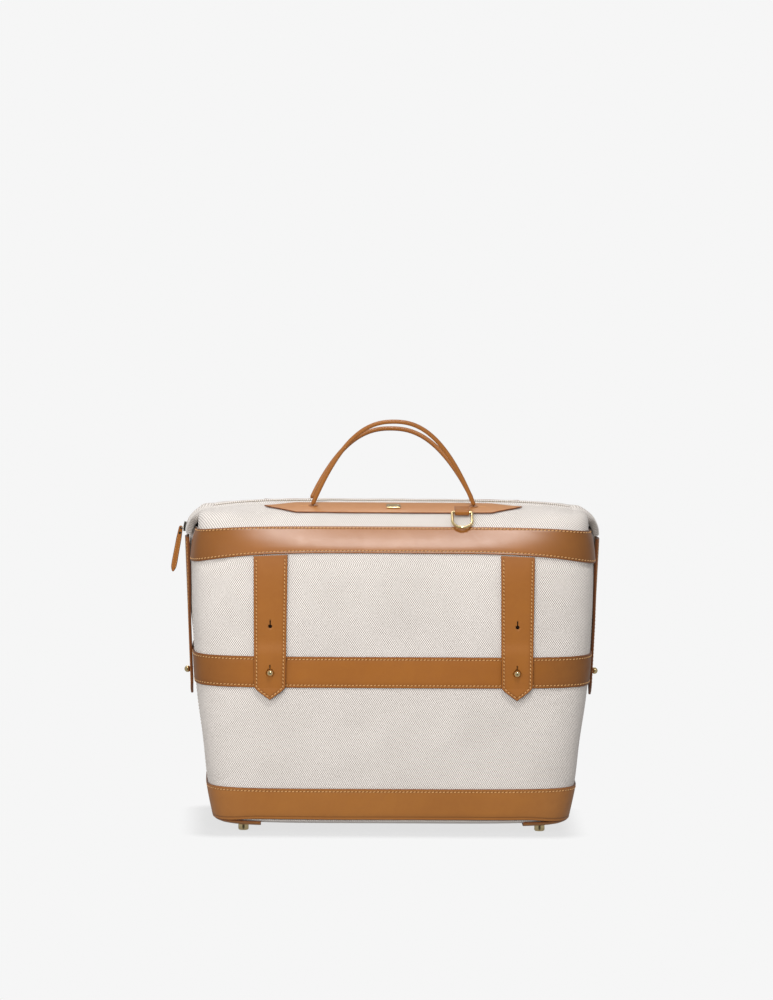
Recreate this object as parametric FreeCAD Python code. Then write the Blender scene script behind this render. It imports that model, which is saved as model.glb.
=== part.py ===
"""Doctor bag: a structured canvas travel bag with tan leather trim and brass fittings.

Millimetres, +Z up, the front of the bag faces -Y.  Each piece of the bag is one STEP file in parts/.
The canvas walls follow one smooth body surface; leather, boards and metal are laid on it in layers.
"""
import FreeCAD, Part
import math
import os

V = FreeCAD.Vector
PARTS = "parts"

# whole bag
SHIFT_X = 8.0            # puts the middle of the whole bag, puller included, over the origin
SQUARENESS = 5.5         # how boxy the body is when seen from above
HEIGHTS = [5.0, 15.0, 50.0, 100.0, 150.0, 185.0, 230.0, 260.0, 304.0, 331.0, 345.0, 351.0, 358.0]
HALF_WIDTHS = [202.5, 205.0, 211.6, 217.5, 223.6, 227.2, 229.4, 230.6, 231.4, 229.0, 225.0, 222.0, 217.0]
HALF_DEPTHS = [90.0, 93.0, 96.0, 98.6, 100.1, 100.5, 100.3, 99.8, 98.4, 96.0, 93.6, 92.4, 90.0]
LEAN_HEIGHTS = [5.0, 260.0, 284.0, 304.0, 321.0, 336.0, 351.0, 358.0]
LEANS = [0.0, 0.0, 0.3, 2.0, 6.0, 12.2, 19.5, 23.0]
SEAM_TURN = 20.8         # degrees round from the side's middle to the seam with the front or rear panel
SEAM_GAP = 0.12          # degrees left open at that seam

# layers, measured out from the canvas surface
CANVAS = 1.6
LAY_GAP = 0.15
LEATHER = 1.8

# top rim, where the mouth halves turn on the body
RIM_Z = 351.0
RIM_DROP = 6.0
WALL_FOOT_Z = 15.2
WALL_ROWS = [0.0, 0.05, 0.12, 0.22, 0.34, 0.46, 0.58, 0.70, 0.79, 0.85, 0.89, 0.925, 0.955, 0.98, 1.0]

# leather bands round the body
UPPER_BAND_LOW_Z = 322.0
UPPER_BAND_DROOP = 14.0
UPPER_BAND_DROOP_POWER = 4.6
BELT_LOW_Z = 168.6
BELT_TOP_Z = 204.6
BASE_LOW_Z = 15.2
BASE_TOP_Z = 52.0

# bottom
BOTTOM_Z = 9.0
BOTTOM_RISE = 6.0
BOTTOM_POWER = 14.0
BOTTOM_EDGE = 0.974
BOARD_THICK = 3.0
BOARD_LOW_Z = 12.6
BOARD_EDGE = 0.885
PATCH_X = 150.0
PATCH_Y = 42.0
FOOT_X = 170.0
FOOT_Y = 68.0
FOOT_R = 6.0
FOOT_TOP_Z = 7.6
STEM_R = 2.0
HOLE_R = 2.25
WASHER_R = 5.0
WASHER_THICK = 1.2

# domed top
RIDGE_Z = 373.8
RIDGE_DROP = 7.4
RIDGE_DROP_POWER = 5.3
TOP_HALF_LENGTH = 205.0
TOP_EDGE_GAP = 0.03      # share of the slope left open along the rim
ZIP_HALF_GAP = 9.0       # canvas edge beside the zip
TAPE_HALF = 14.0
TAPE_THICK = 0.8
TOOTH_PITCH = 4.0
TOOTH_WIDE = 1.9
TOOTH_REACH = 2.5
TOOTH_TALL = 1.3
TOOTH_GAP = 0.25

# tabs under the handles
TAB_HALF_LENGTH = 148.0
TAB_SHOULDER = 112.0
TAB_BACK_Y = 20.0
TAB_FRONT_Y = 54.0
TAB_TIP_Y = 34.0
PLAQUE_WIDE = 16.0
PLAQUE_DEEP = 14.0
PLAQUE_THICK = 1.2
PLAQUE_Y = 38.0

# rolled handles
HANDLE_R = 2.5
HANDLE_X = 92.0
HANDLE_Y = 36.0
HANDLE_TALL = 94.1
HANDLE_POWER = 2.35
REAR_HANDLE_LEAN = 38.0

# D-ring and its leather loop
RING_X = 78.0
RING_WIRE_R = 1.75
RING_HALF_WIDTH = 11.25
RING_LENGTH = 19.75
RING_CORNER = 2.25
RING_PIVOT_Y = 60.3
RING_PIVOT_Z = 366.6
RING_HANG = 34.0
LOOP_INNER_R = 2.1
LOOP_OUTER_R = 3.6
LOOP_HALF = 8.4
LOOP_TAIL = 11.0

# buttoned straps
STRAP_THICK = 3.0
STRAP_X = 141.0
STRAP_HALF_TOP = 19.4
STRAP_HALF_LOW = 18.0
STRAP_TOP_Z = 320.1
STRAP_TOP_SLOPE = 1.6    # drop of the outer top corner, along the band above it
STRAP_AIR = [0.6, 2.45]  # air to the canvas surface above the belt and over the belt
STRAP_RISE_Z = [207.0, 222.0]
STRAP_TIP_LIFT = 0.12    # slope of the free tip away from the bag
STRAP_SHOULDER_Z = 169.0
STRAP_TIP_Z = 154.6
STUD_Z = 186.4
SPARE_HOLE_Z = 239.4
STUD_HOLE_R = 4.2
SPARE_HOLE_R = 2.2
SLIT_LONG = 4.6
SLIT_HALF = 0.5
BALL_R = 3.8
POST_R = 1.9
STUD_SEAT = 0.3          # air between the stud's foot and the belt's face
BALL_OUT = 2.7           # ball centre beyond the strap's outer face

# side straps
SIDE_TOP_Z = 332.0
SIDE_TOP_X = 236.0
SIDE_TILT = 2.45
SIDE_STUD_Z = 177.0
SIDE_SPARE_Z = 230.0
SIDE_SHOULDER_Z = 163.5
SIDE_TIP_Z = 149.3
SIDE_HALF = 18.0

# folded ears at both ends of the zip: a soft tube bent round one centre line
EAR_X = 210.0
EAR_Z = 339.0
EAR_INNER_R = 22.4
EAR_OUTER_R = 27.0
EAR_LOW = -8.0
EAR_HIGH = 93.0
EAR_HALF_ROOT = 42.0
EAR_HALF_END = 21.0
EAR_TAPE_HALF = 9.0
END_FOLD_NEAR = 206.6
END_FOLD_FAR = 220.0
END_FOLD_DROP = 8.5

# zip slider and puller
SLIDER_TURN = 7.0
SLIDER_SPAN = 20.0
SLIDER_HALF = 4.8
SLIDER_CHANNEL = 3.3
SLIDER_LOW_R = 28.3
SLIDER_MID_R = 29.6
SLIDER_TOP_R = 30.9
BAIL_R = 1.1
BAIL_HALF = 3.0
BAIL_POST_R = 0.9
PULLER_X = 243.8
PULLER_Z = 341.0
PULLER_LEAN = 10.0
PULLER_LONG = 52.0
PULLER_HALF_TOP = 2.3
PULLER_HALF = 3.3
PULLER_THICK = 2.4
RIVET_R = 1.5


def along(stations, values, place):
    """Smooth curve through a list of stations."""
    last = len(stations) - 1
    place = min(max(place, stations[0]), stations[last])
    i = 0
    while i < last - 1 and place > stations[i + 1]:
        i += 1
    span = stations[i + 1] - stations[i]
    slopes = []
    for j in (i, i + 1):
        low = max(j - 1, 0)
        high = min(j + 1, last)
        slopes.append((values[high] - values[low]) / (stations[high] - stations[low]))
    t = (place - stations[i]) / span
    rise = values[i] * (2 * t ** 3 - 3 * t ** 2 + 1) + values[i + 1] * (3 * t ** 2 - 2 * t ** 3)
    swing = slopes[0] * (t ** 3 - 2 * t ** 2 + t) + slopes[1] * (t ** 3 - t ** 2)
    return rise + swing * span


def wall_share(turn):
    """Shares of the half width and half depth in one direction round the body."""
    c = math.cos(math.radians(turn))
    s = math.sin(math.radians(turn))
    size = (abs(c) ** SQUARENESS + abs(s) ** SQUARENESS) ** (-1.0 / SQUARENESS)
    return c * size, s * size


def wall_at(share_x, share_y, z):
    out_x = along(HEIGHTS, HALF_WIDTHS, z) * share_x
    lean = along(LEAN_HEIGHTS, LEANS, z) * (1.0 - abs(share_x) ** 3)
    out_y = along(HEIGHTS, HALF_DEPTHS, z) * abs(share_y) - lean
    return V(out_x, -math.copysign(out_y, share_y), z)


def wall(turn, z):
    """Body surface; turn 0 is the right side, 90 the front, 180 the left side, 270 the rear."""
    share_x, share_y = wall_share(turn)
    return wall_at(share_x, share_y, z)


def rim_height(turn):
    return RIM_Z - RIM_DROP * abs(wall_share(turn)[0]) ** 8


def upper_band_low(turn):
    return UPPER_BAND_LOW_Z - UPPER_BAND_DROOP * abs(wall_share(turn)[0]) ** UPPER_BAND_DROOP_POWER


def rim_point(share_x):
    share_y = (1.0 - abs(share_x) ** SQUARENESS) ** (1.0 / SQUARENESS)
    return wall_at(share_x, share_y, RIM_Z - RIM_DROP * abs(share_x) ** 8)


def rim_share(x):
    """Share of the half width at which the rim passes a given x."""
    share = x / along(HEIGHTS, HALF_WIDTHS, RIM_Z)
    for _ in range(8):
        share = share * x / rim_point(share).x if abs(x) > 1e-6 else 0.0
    return share


def crown(share):
    """Rise of the domed top from the rim (1) to the ridge (0)."""
    return 1.0 - 0.45 * share ** 1.2 - 0.55 * share ** 5


def ridge(x):
    return RIDGE_Z - RIDGE_DROP * (abs(x) / TOP_HALF_LENGTH) ** RIDGE_DROP_POWER


def top_at(x, share, front=True):
    """Point of the domed top; share 1 lies on the rim and 0 on the ridge."""
    rim = rim_point(rim_share(x))
    z = rim.z + (ridge(x) - rim.z) * crown(share)
    y = rim.y * share
    return V(x, y if front else -y, z)


def top_under(x, y):
    """Point of the domed top above a given x and y."""
    rim = rim_point(rim_share(x))
    return top_at(x, abs(y) / abs(rim.y), y < 0)


def unit_normal(surface, u, v, du, dv):
    """Normal of a surface, pointing away from the middle of the bag."""
    across = surface(u + du, v) - surface(u - du, v)
    up = surface(u, v + dv) - surface(u, v - dv)
    normal = across.cross(up)
    normal.normalize()
    return normal


def layer(surface, u_list, v_list, inner, outer, du, dv, outward):
    """Solid between two offsets of a surface."""
    grids = []
    for offset in (inner, outer):
        grid = []
        for u in u_list:
            row = []
            for v in v_list:
                normal = unit_normal(surface, u, v, du, dv)
                point = surface(u, v)
                if normal.dot(outward(point)) < 0:
                    normal = normal * -1.0
                row.append(point + normal * offset)
            grid.append(row)
        grids.append(grid)
    return solid_between(grids[0], grids[1])


def solid_between(low_grid, high_grid):
    surfaces = []
    for grid in (low_grid, high_grid):
        surface = Part.BSplineSurface()
        surface.interpolate(grid)
        surfaces.append(surface)
    low, high = surfaces
    u0, u1, v0, v1 = low.bounds()
    faces = [low.toShape(), high.toShape()]
    for edge_of in (lambda s: s.uIso(u0), lambda s: s.uIso(u1), lambda s: s.vIso(v0), lambda s: s.vIso(v1)):
        faces.append(Part.makeRuledSurface(edge_of(low).toShape(), edge_of(high).toShape()))
    shell = Part.makeShell(faces)
    shell.sewShape()
    solid = Part.makeSolid(shell)
    if solid.Volume < 0:
        solid.reverse()
    return solid


def steps(start, stop, count):
    return [start + (stop - start) * i / (count - 1) for i in range(count)]


def from_axis(point):
    return V(point.x, point.y, 0.0)


def front_turns(start, stop):
    """Directions across the front, closer together round the corners."""
    marks = [27.0, 34.0, 39.5, 45.0, 50.5, 57.0, 66.0, 78.0, 90.0]
    marks = marks + [180.0 - m for m in reversed(marks[:-1])]
    return [start] + [m for m in marks if start + 1.0 < m < stop - 1.0] + [stop]


def wall_layer(turns, low, high, rows, inner, outer):
    """Layer on the body wall between two edge curves, each given as a height for a turn."""
    def surface(turn, share):
        return wall(turn, low(turn) + (high(turn) - low(turn)) * share)
    return layer(surface, turns, rows, inner, outer, 0.05, 0.0005, from_axis)


def level(z):
    return lambda turn: z


def mirrored(shape, normal):
    return shape.mirror(V(0, 0, 0), normal)


def to_rear(shape):
    return mirrored(shape, V(0, 1, 0))


def to_left(shape):
    return mirrored(shape, V(1, 0, 0))


def cylinder(radius, start, stop):
    span = stop - start
    return Part.makeCylinder(radius, span.Length, start, span)


def outline_prism(points, depth_vector):
    wire = Part.makePolygon(points + [points[0]])
    return Part.Face(wire).extrude(depth_vector)


# canvas body and the leather bands on it

def body_walls():
    front = front_turns(SEAM_TURN + SEAM_GAP, 180.0 - SEAM_TURN - SEAM_GAP)
    side = steps(-SEAM_TURN, SEAM_TURN, 7)
    panel = wall_layer(front, level(WALL_FOOT_Z), rim_height, WALL_ROWS, -CANVAS, 0.0)
    gusset = wall_layer(side, level(WALL_FOOT_Z), rim_height, WALL_ROWS, -CANVAS, 0.0)
    save("canvas_front_panel", panel)
    save("canvas_rear_panel", to_rear(panel))
    save("canvas_right_gusset", gusset)
    save("canvas_left_gusset", to_left(gusset))


def leather_ring(name, low_z, high_z):
    inner = LAY_GAP
    outer = LAY_GAP + LEATHER
    front = front_turns(SEAM_TURN + SEAM_GAP, 180.0 - SEAM_TURN - SEAM_GAP)
    side = steps(-SEAM_TURN, SEAM_TURN, 7)
    long_piece = wall_layer(front, level(low_z), level(high_z), steps(0.0, 1.0, 4), inner, outer)
    short_piece = wall_layer(side, level(low_z), level(high_z), steps(0.0, 1.0, 4), inner, outer)
    save(name + "_front", long_piece)
    save(name + "_rear", to_rear(long_piece))
    save(name + "_right", short_piece)
    save(name + "_left", to_left(short_piece))


def upper_bands():
    front = front_turns(SEAM_TURN + SEAM_GAP, 180.0 - SEAM_TURN - SEAM_GAP)
    rows = steps(0.0, 1.0, 6)
    inner = LAY_GAP + 0.1
    band = wall_layer(front, upper_band_low, lambda t: rim_height(t) - 0.2, rows, inner, inner + LEATHER)
    save("upper_band_front", band)
    save("upper_band_rear", to_rear(band))


# bottom, board and feet

def footprint(share, low_z, high_z):
    """Upright block whose outline is the body's foot outline made smaller by a share."""
    points = []
    for turn in range(0, 360, 8):
        share_x, share_y = wall_share(turn + 4.0)
        point = wall_at(share_x * share, share_y * share, WALL_FOOT_Z)
        points.append(V(point.x, point.y, low_z))
    curve = Part.BSplineCurve()
    curve.interpolate(Points=points, PeriodicFlag=True)
    return Part.Face(Part.Wire(curve.toShape())).extrude(V(0, 0, high_z - low_z))


def bottom_surface(x, y):
    half_x = along(HEIGHTS, HALF_WIDTHS, WALL_FOOT_Z)
    half_y = along(HEIGHTS, HALF_DEPTHS, WALL_FOOT_Z)
    reach = (abs(x / half_x) ** SQUARENESS + abs(y / half_y) ** SQUARENESS) ** (1.0 / SQUARENESS)
    return V(x, y, BOTTOM_Z + BOTTOM_RISE * min(reach, 1.06) ** BOTTOM_POWER)


def spread(half):
    """Stations from one edge to the other, closer together near the edges."""
    marks = [0.0, 0.3, 0.55, 0.72, 0.82, 0.89, 0.945, 1.0]
    right = [half * m for m in marks]
    return [-r for r in reversed(right[1:])] + right


def bottom_layer(inner, outer):
    down = V(0, 0, -1)
    half_x = along(HEIGHTS, HALF_WIDTHS, WALL_FOOT_Z)
    half_y = along(HEIGHTS, HALF_DEPTHS, WALL_FOOT_Z)
    return layer(bottom_surface, spread(half_x), spread(half_y), inner, outer, 0.2, 0.2, lambda p: down)


def stem_holes(shape):
    for x in (-FOOT_X, FOOT_X):
        for y in (-FOOT_Y, FOOT_Y):
            shape = shape.cut(cylinder(HOLE_R, V(x, y, 0), V(x, y, 30)))
    return shape


def bottom():
    canvas = bottom_layer(-CANVAS, 0.0).common(footprint(BOTTOM_EDGE, 0.0, 30.0))
    save("canvas_bottom_panel", stem_holes(canvas))
    board = footprint(BOARD_EDGE, BOARD_LOW_Z, BOARD_LOW_Z + BOARD_THICK)
    save("base_board", stem_holes(board))
    leather = stem_holes(bottom_layer(LAY_GAP, LAY_GAP + LEATHER).common(footprint(BOTTOM_EDGE, 0.0, 30.0)))
    patches = []
    for x in (-PATCH_X - 100.0, PATCH_X):
        for y in (-PATCH_Y - 100.0, PATCH_Y):
            patches.append(leather.common(Part.makeBox(100, 100, 30, V(x, y, 0))))
    save_group("corner_patches", patches)


def feet():
    board_top = BOARD_LOW_Z + BOARD_THICK + 0.1
    studs = []
    washers = []
    for x in (-FOOT_X, FOOT_X):
        for y in (-FOOT_Y, FOOT_Y):
            disc = cylinder(FOOT_R, V(x, y, 0), V(x, y, FOOT_TOP_Z))
            low_edges = [e for e in disc.Edges if abs(e.CenterOfMass.z) < 0.01]
            disc = disc.makeFillet(1.2, low_edges)
            stem = cylinder(STEM_R, V(x, y, FOOT_TOP_Z - 1.0), V(x, y, board_top + WASHER_THICK))
            studs.append(disc.fuse(stem).removeSplitter())
            washer = cylinder(WASHER_R, V(x, y, board_top), V(x, y, board_top + WASHER_THICK))
            washers.append(washer.cut(cylinder(HOLE_R, V(x, y, 0), V(x, y, 30))))
    save_group("feet", studs)
    save_group("foot_washers", washers)


# domed top, zip and tabs

def top_layer(x_list, share_list, inner, outer):
    return layer(top_at, x_list, share_list, inner, outer, 0.2, 0.002, lambda p: V(0, 0, 1))


def top_strip(near_y, far_y, inner, outer):
    """Layer of the front half of the top between two distances from the ridge."""
    def surface(x, share):
        rim = abs(rim_point(rim_share(x)).y)
        outer_share = 1.0 - TOP_EDGE_GAP if far_y is None else far_y / rim
        inner_share = near_y / rim
        return top_at(x, inner_share + (outer_share - inner_share) * share)
    rows = steps(0.0, 1.0, 9) if far_y is None else steps(0.0, 1.0, 3)
    columns = steps(-TOP_HALF_LENGTH, TOP_HALF_LENGTH, 19)
    return layer(surface, columns, rows, inner, outer, 0.2, 0.002, lambda p: V(0, 0, 1))


def tab_outline():
    points = []
    for x, y in (
        (-TAB_HALF_LENGTH, TAB_TIP_Y),
        (-TAB_SHOULDER, TAB_FRONT_Y),
        (TAB_SHOULDER, TAB_FRONT_Y),
        (TAB_HALF_LENGTH, TAB_TIP_Y),
        (TAB_SHOULDER, TAB_BACK_Y),
        (-TAB_SHOULDER, TAB_BACK_Y),
    ):
        points.append(V(x, -y, RIM_Z - 20.0))
    return outline_prism(points, V(0, 0, 60))


def teeth_row():
    """Metal teeth along the front edge of the zip."""
    teeth = []
    count = int(2 * TOP_HALF_LENGTH / TOOTH_PITCH) - 1
    for i in range(count):
        x = (i - (count - 1) / 2.0) * TOOTH_PITCH
        low = ridge(x) - CANVAS - LAY_GAP + 0.25
        corner = V(x - TOOTH_WIDE / 2, -TOOTH_GAP - TOOTH_REACH, low)
        teeth.append(Part.makeBox(TOOTH_WIDE, TOOTH_REACH, TOOTH_TALL, corner))
    return teeth


def plaque():
    middle = top_under(0.0, -PLAQUE_Y)
    normal = unit_normal(top_at, 0.0, PLAQUE_Y / abs(rim_point(0.0).y), 0.2, 0.002)
    if normal.z < 0:
        normal = normal * -1.0
    plate = Part.makeBox(PLAQUE_WIDE, PLAQUE_DEEP, PLAQUE_THICK, V(-PLAQUE_WIDE / 2, -PLAQUE_DEEP / 2, 0))
    corners = [e for e in plate.Edges if abs(e.Vertexes[0].Z - e.Vertexes[1].Z) > 1.0]
    plate = plate.makeFillet(1.6, corners)
    plate.rotate(V(0, 0, 0), V(1, 0, 0), math.degrees(math.atan2(-normal.y, normal.z)))
    plate.translate(middle + normal * (LAY_GAP + LEATHER + 0.35))
    return plate


def mouth_halves():
    canvas = top_strip(ZIP_HALF_GAP, None, -CANVAS, 0.0)
    tape = top_strip(TOOTH_GAP + 0.3, TAPE_HALF, -CANVAS - LAY_GAP - TAPE_THICK, -CANVAS - LAY_GAP)
    tab = top_strip(TAB_BACK_Y - 2.0, None, LAY_GAP, LAY_GAP + LEATHER).common(tab_outline())
    save("canvas_front_top", canvas)
    save("canvas_rear_top", to_rear(canvas))
    save("zip_tape_front", tape)
    save("zip_tape_rear", to_rear(tape))
    save("front_tab", tab)
    save("rear_tab", to_rear(tab))
    save_group("zip_teeth_front", teeth_row())
    save_group("zip_teeth_rear", [to_rear(t) for t in teeth_row()])
    save("front_plaque", plaque())


def end_folds():
    """Top of each gusset, folded in under the ear."""
    def surface(x, share):
        rim = rim_point(rim_share(x))
        top = ridge(TOP_HALF_LENGTH) - END_FOLD_DROP
        run = (x - END_FOLD_NEAR) / (END_FOLD_FAR - END_FOLD_NEAR)
        peak = top + (rim.z - 1.0 - top) * max(run, 0.0) ** 1.7
        return V(x, rim.y * share, rim.z + (peak - rim.z) * crown(abs(share)))
    fold = layer(surface, steps(END_FOLD_NEAR, END_FOLD_FAR, 5), steps(-0.92, 0.92, 15), -CANVAS, 0.0,
                 0.1, 0.002, lambda p: V(0, 0, 1))
    save("canvas_right_end_fold", fold)
    save("canvas_left_end_fold", to_left(fold))


# handles, ring and straps

def handle(foot_y, lean):
    """Rolled leather arch standing on two ball ends; lean turns it back from upright."""
    points = []
    for share in (1.0, 0.985, 0.95, 0.88, 0.78, 0.62, 0.42, 0.2, 0.0):
        points.append((HANDLE_X * share, HANDLE_TALL * (1.0 - share ** HANDLE_POWER)))
    path = [V(-x, 0, z) for x, z in points] + [V(x, 0, z) for x, z in reversed(points[:-1])]
    curve = Part.BSplineCurve()
    curve.interpolate(path)
    spine = Part.Wire(curve.toShape())
    start_direction = curve.tangent(curve.FirstParameter)[0]
    profile = Part.Wire(Part.makeCircle(HANDLE_R, path[0], start_direction))
    tube = spine.makePipeShell([profile], True, False)
    for end in (path[0], path[-1]):
        tube = tube.fuse(Part.makeSphere(HANDLE_R + 0.15, end))
    tube.rotate(V(0, 0, 0), V(1, 0, 0), -lean)
    foot = top_under(HANDLE_X, foot_y)
    lift = LAY_GAP + LEATHER + HANDLE_R + 0.6
    tube.translate(V(0, foot_y, foot.z + lift))
    return tube


def ring():
    low = RING_LENGTH - RING_HALF_WIDTH
    half = RING_HALF_WIDTH
    c = RING_CORNER
    k = c * (1.0 - math.sqrt(0.5))
    h = half * math.sqrt(0.5)
    edges = [
        Part.makeLine(V(-half + c, 0, 0), V(half - c, 0, 0)),
        Part.Arc(V(half - c, 0, 0), V(half - k, 0, -k), V(half, 0, -c)).toShape(),
        Part.makeLine(V(half, 0, -c), V(half, 0, -low)),
        Part.Arc(V(half, 0, -low), V(0, 0, -low - half), V(-half, 0, -low)).toShape(),
        Part.makeLine(V(-half, 0, -low), V(-half, 0, -c)),
        Part.Arc(V(-half, 0, -c), V(-half + k, 0, -k), V(-half + c, 0, 0)).toShape(),
    ]
    spine = Part.Wire(edges)
    profile = Part.Wire(Part.makeCircle(RING_WIRE_R, V(-half + c, 0, 0), V(1, 0, 0)))
    shape = spine.makePipeShell([profile], True, False)
    shape.rotate(V(0, 0, 0), V(1, 0, 0), -(90.0 - RING_HANG))
    shape.translate(V(RING_X, -RING_PIVOT_Y, RING_PIVOT_Z))
    return shape


def ring_loop():
    """Leather loop round the ring's bar, with a tail lying on the canvas up to the tab."""
    start = V(RING_X - LOOP_HALF, -RING_PIVOT_Y, RING_PIVOT_Z)
    stop = V(RING_X + LOOP_HALF, -RING_PIVOT_Y, RING_PIVOT_Z)
    tail = Part.makeBox(2 * LOOP_HALF, LOOP_TAIL, LOOP_OUTER_R - LOOP_INNER_R,
                        V(-LOOP_HALF, 0, LOOP_INNER_R))
    tail.rotate(V(0, 0, 0), V(1, 0, 0), 16.0)
    tail.translate(V(RING_X, -RING_PIVOT_Y, RING_PIVOT_Z))
    loop = cylinder(LOOP_OUTER_R, start, stop).fuse(tail)
    return loop.cut(cylinder(LOOP_INNER_R, start, stop)).removeSplitter()


def strap(length, half_top, half_low, shoulder, holes, slope=0.0, thick=STRAP_THICK):
    """Strap hanging from the origin down the Z axis, its inner face at y 0 and outer face at -Y."""
    points = [
        V(-half_top, 0, 0), V(half_top, 0, -slope), V(half_low, 0, -shoulder), V(half_low * 0.72, 0, -shoulder - 5.0),
        V(0, 0, -length), V(-half_low * 0.72, 0, -shoulder - 5.0), V(-half_low, 0, -shoulder),
    ]
    body = outline_prism(points, V(0, -thick, 0))
    for drop, radius in holes:
        hole = cylinder(radius, V(0, 1, -drop), V(0, -thick - 1, -drop))
        slit_height = radius + SLIT_LONG
        slit = Part.makeBox(2 * SLIT_HALF, thick + 2, slit_height, V(-SLIT_HALF, -thick - 1, -drop))
        body = body.cut(hole.fuse(slit))
    return body


def ball_stud(belt_face, strap_face):
    """Stud standing out along -Y from the belt, its ball in front of the strap."""
    middle = strap_face + BALL_OUT
    post = cylinder(POST_R, V(0, -belt_face, 0), V(0, -middle, 0))
    return post.fuse(Part.makeSphere(BALL_R, V(0, -middle, 0))).removeSplitter()


def strap_face(x, z):
    """Inner face of a front strap: it follows the canvas, then lies over the belt."""
    share = x / along(HEIGHTS, HALF_WIDTHS, z)
    point = wall_at(share, (1.0 - share ** SQUARENESS) ** (1.0 / SQUARENESS), z)
    low, high = STRAP_RISE_Z
    t = min(max((high - z) / (high - low), 0.0), 1.0)
    air = STRAP_AIR[0] + (STRAP_AIR[1] - STRAP_AIR[0]) * (3 * t ** 2 - 2 * t ** 3)
    air += STRAP_TIP_LIFT * max(BELT_LOW_Z - z, 0.0)
    return V(x, point.y - air, z)


def front_straps():
    length = STRAP_TOP_Z - STRAP_TIP_Z
    holes = [(STRAP_TOP_Z - STUD_Z, STUD_HOLE_R), (STRAP_TOP_Z - SPARE_HOLE_Z, SPARE_HOLE_R)]
    cutter = strap(length, STRAP_HALF_TOP, STRAP_HALF_LOW, STRAP_TOP_Z - STRAP_SHOULDER_Z, holes,
                   STRAP_TOP_SLOPE, 60.0)
    cutter.translate(V(STRAP_X, -70.0, STRAP_TOP_Z))
    reach = STRAP_HALF_TOP + 3.0
    columns = steps(STRAP_X - reach, STRAP_X + reach, 7)
    rows = steps(STRAP_TIP_Z - 3.0, STRAP_TOP_Z + 3.0, 29)
    piece = layer(strap_face, columns, rows, 0.0, STRAP_THICK, 0.2, 0.2, from_axis).common(cutter)
    save("front_right_strap", piece)
    save("front_left_strap", to_left(piece))
    save("rear_right_strap", to_rear(piece))
    save("rear_left_strap", to_rear(to_left(piece)))
    face = abs(strap_face(STRAP_X, STUD_Z).y)
    belt_outer = face - STRAP_AIR[1] + LAY_GAP + LEATHER
    stud = ball_stud(belt_outer + STUD_SEAT, face + STRAP_THICK)
    stud.translate(V(STRAP_X, 0, STUD_Z))
    save_group("front_ball_studs", [stud, to_left(stud)])
    save_group("rear_ball_studs", [to_rear(stud), to_rear(to_left(stud))])


def side_straps():
    length = SIDE_TOP_Z - SIDE_TIP_Z
    holes = [(SIDE_TOP_Z - SIDE_STUD_Z, STUD_HOLE_R), (SIDE_TOP_Z - SIDE_SPARE_Z, SPARE_HOLE_R)]
    piece = strap(length, SIDE_HALF, SIDE_HALF, SIDE_TOP_Z - SIDE_SHOULDER_Z, holes)
    piece.rotate(V(0, 0, 0), V(0, 0, 1), 90.0)
    piece.rotate(V(0, 0, 0), V(0, 1, 0), SIDE_TILT)
    piece.translate(V(SIDE_TOP_X, 0, SIDE_TOP_Z))
    save("right_side_strap", piece)
    save("left_side_strap", to_left(piece))
    tilt = math.radians(SIDE_TILT)
    strap_face = SIDE_TOP_X - (SIDE_TOP_Z - SIDE_STUD_Z) * math.sin(tilt) + STRAP_THICK * math.cos(tilt)
    belt = wall(0.0, SIDE_STUD_Z).x
    stud = ball_stud(belt + LAY_GAP + LEATHER + STUD_SEAT, strap_face)
    stud.rotate(V(0, 0, 0), V(0, 0, 1), 90.0)
    stud.translate(V(0, 0, SIDE_STUD_Z))
    save_group("side_ball_studs", [stud, to_left(stud)])


# ears, slider and puller

def ear_layer(inner, outer, start, stop, half_start, half_stop):
    """Layer bent round the ear's centre line, from its low end up to its root."""
    def surface(turn, share):
        run = (turn - start) / (stop - start)
        half = half_start + (half_stop - half_start) * run
        angle = math.radians(turn)
        return V(EAR_X + EAR_OUTER_R * math.cos(angle), half * share, EAR_Z + EAR_OUTER_R * math.sin(angle))

    def outward(point):
        return point - V(EAR_X, point.y, EAR_Z)
    columns = steps(start, stop, 9)
    return layer(surface, columns, [-1.0, -0.5, 0.0, 0.5, 1.0], inner - EAR_OUTER_R, outer - EAR_OUTER_R,
                 0.2, 0.01, outward)


def ear_teeth():
    teeth = []
    count = int(math.radians(EAR_HIGH - EAR_LOW - 8.0) * EAR_OUTER_R / TOOTH_PITCH)
    for i in range(count):
        turn = EAR_LOW + 5.0 + i * math.degrees(TOOTH_PITCH / EAR_OUTER_R)
        for side in (-1, 1):
            low_y = TOOTH_GAP if side > 0 else -TOOTH_GAP - TOOTH_REACH
            tooth = Part.makeBox(1.25, TOOTH_REACH, TOOTH_WIDE, V(EAR_OUTER_R + 0.95, low_y, -TOOTH_WIDE / 2))
            tooth.rotate(V(0, 0, 0), V(0, 1, 0), -turn)
            tooth.translate(V(EAR_X, 0, EAR_Z))
            teeth.append(tooth)
    return teeth


def ears():
    canvas = ear_layer(EAR_INNER_R, EAR_OUTER_R, EAR_LOW, EAR_HIGH, EAR_HALF_END, EAR_HALF_ROOT)
    tape = ear_layer(EAR_OUTER_R + 0.1, EAR_OUTER_R + 0.8, EAR_LOW + 1.0, EAR_HIGH - 1.0,
                     EAR_TAPE_HALF, EAR_TAPE_HALF)
    save("right_ear_canvas", canvas)
    save("left_ear_canvas", to_left(canvas))
    save("right_ear_zip_tape", tape)
    save("left_ear_zip_tape", to_left(tape))
    save_group("right_ear_zip_teeth", ear_teeth())
    save_group("left_ear_zip_teeth", [to_left(t) for t in ear_teeth()])


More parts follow.
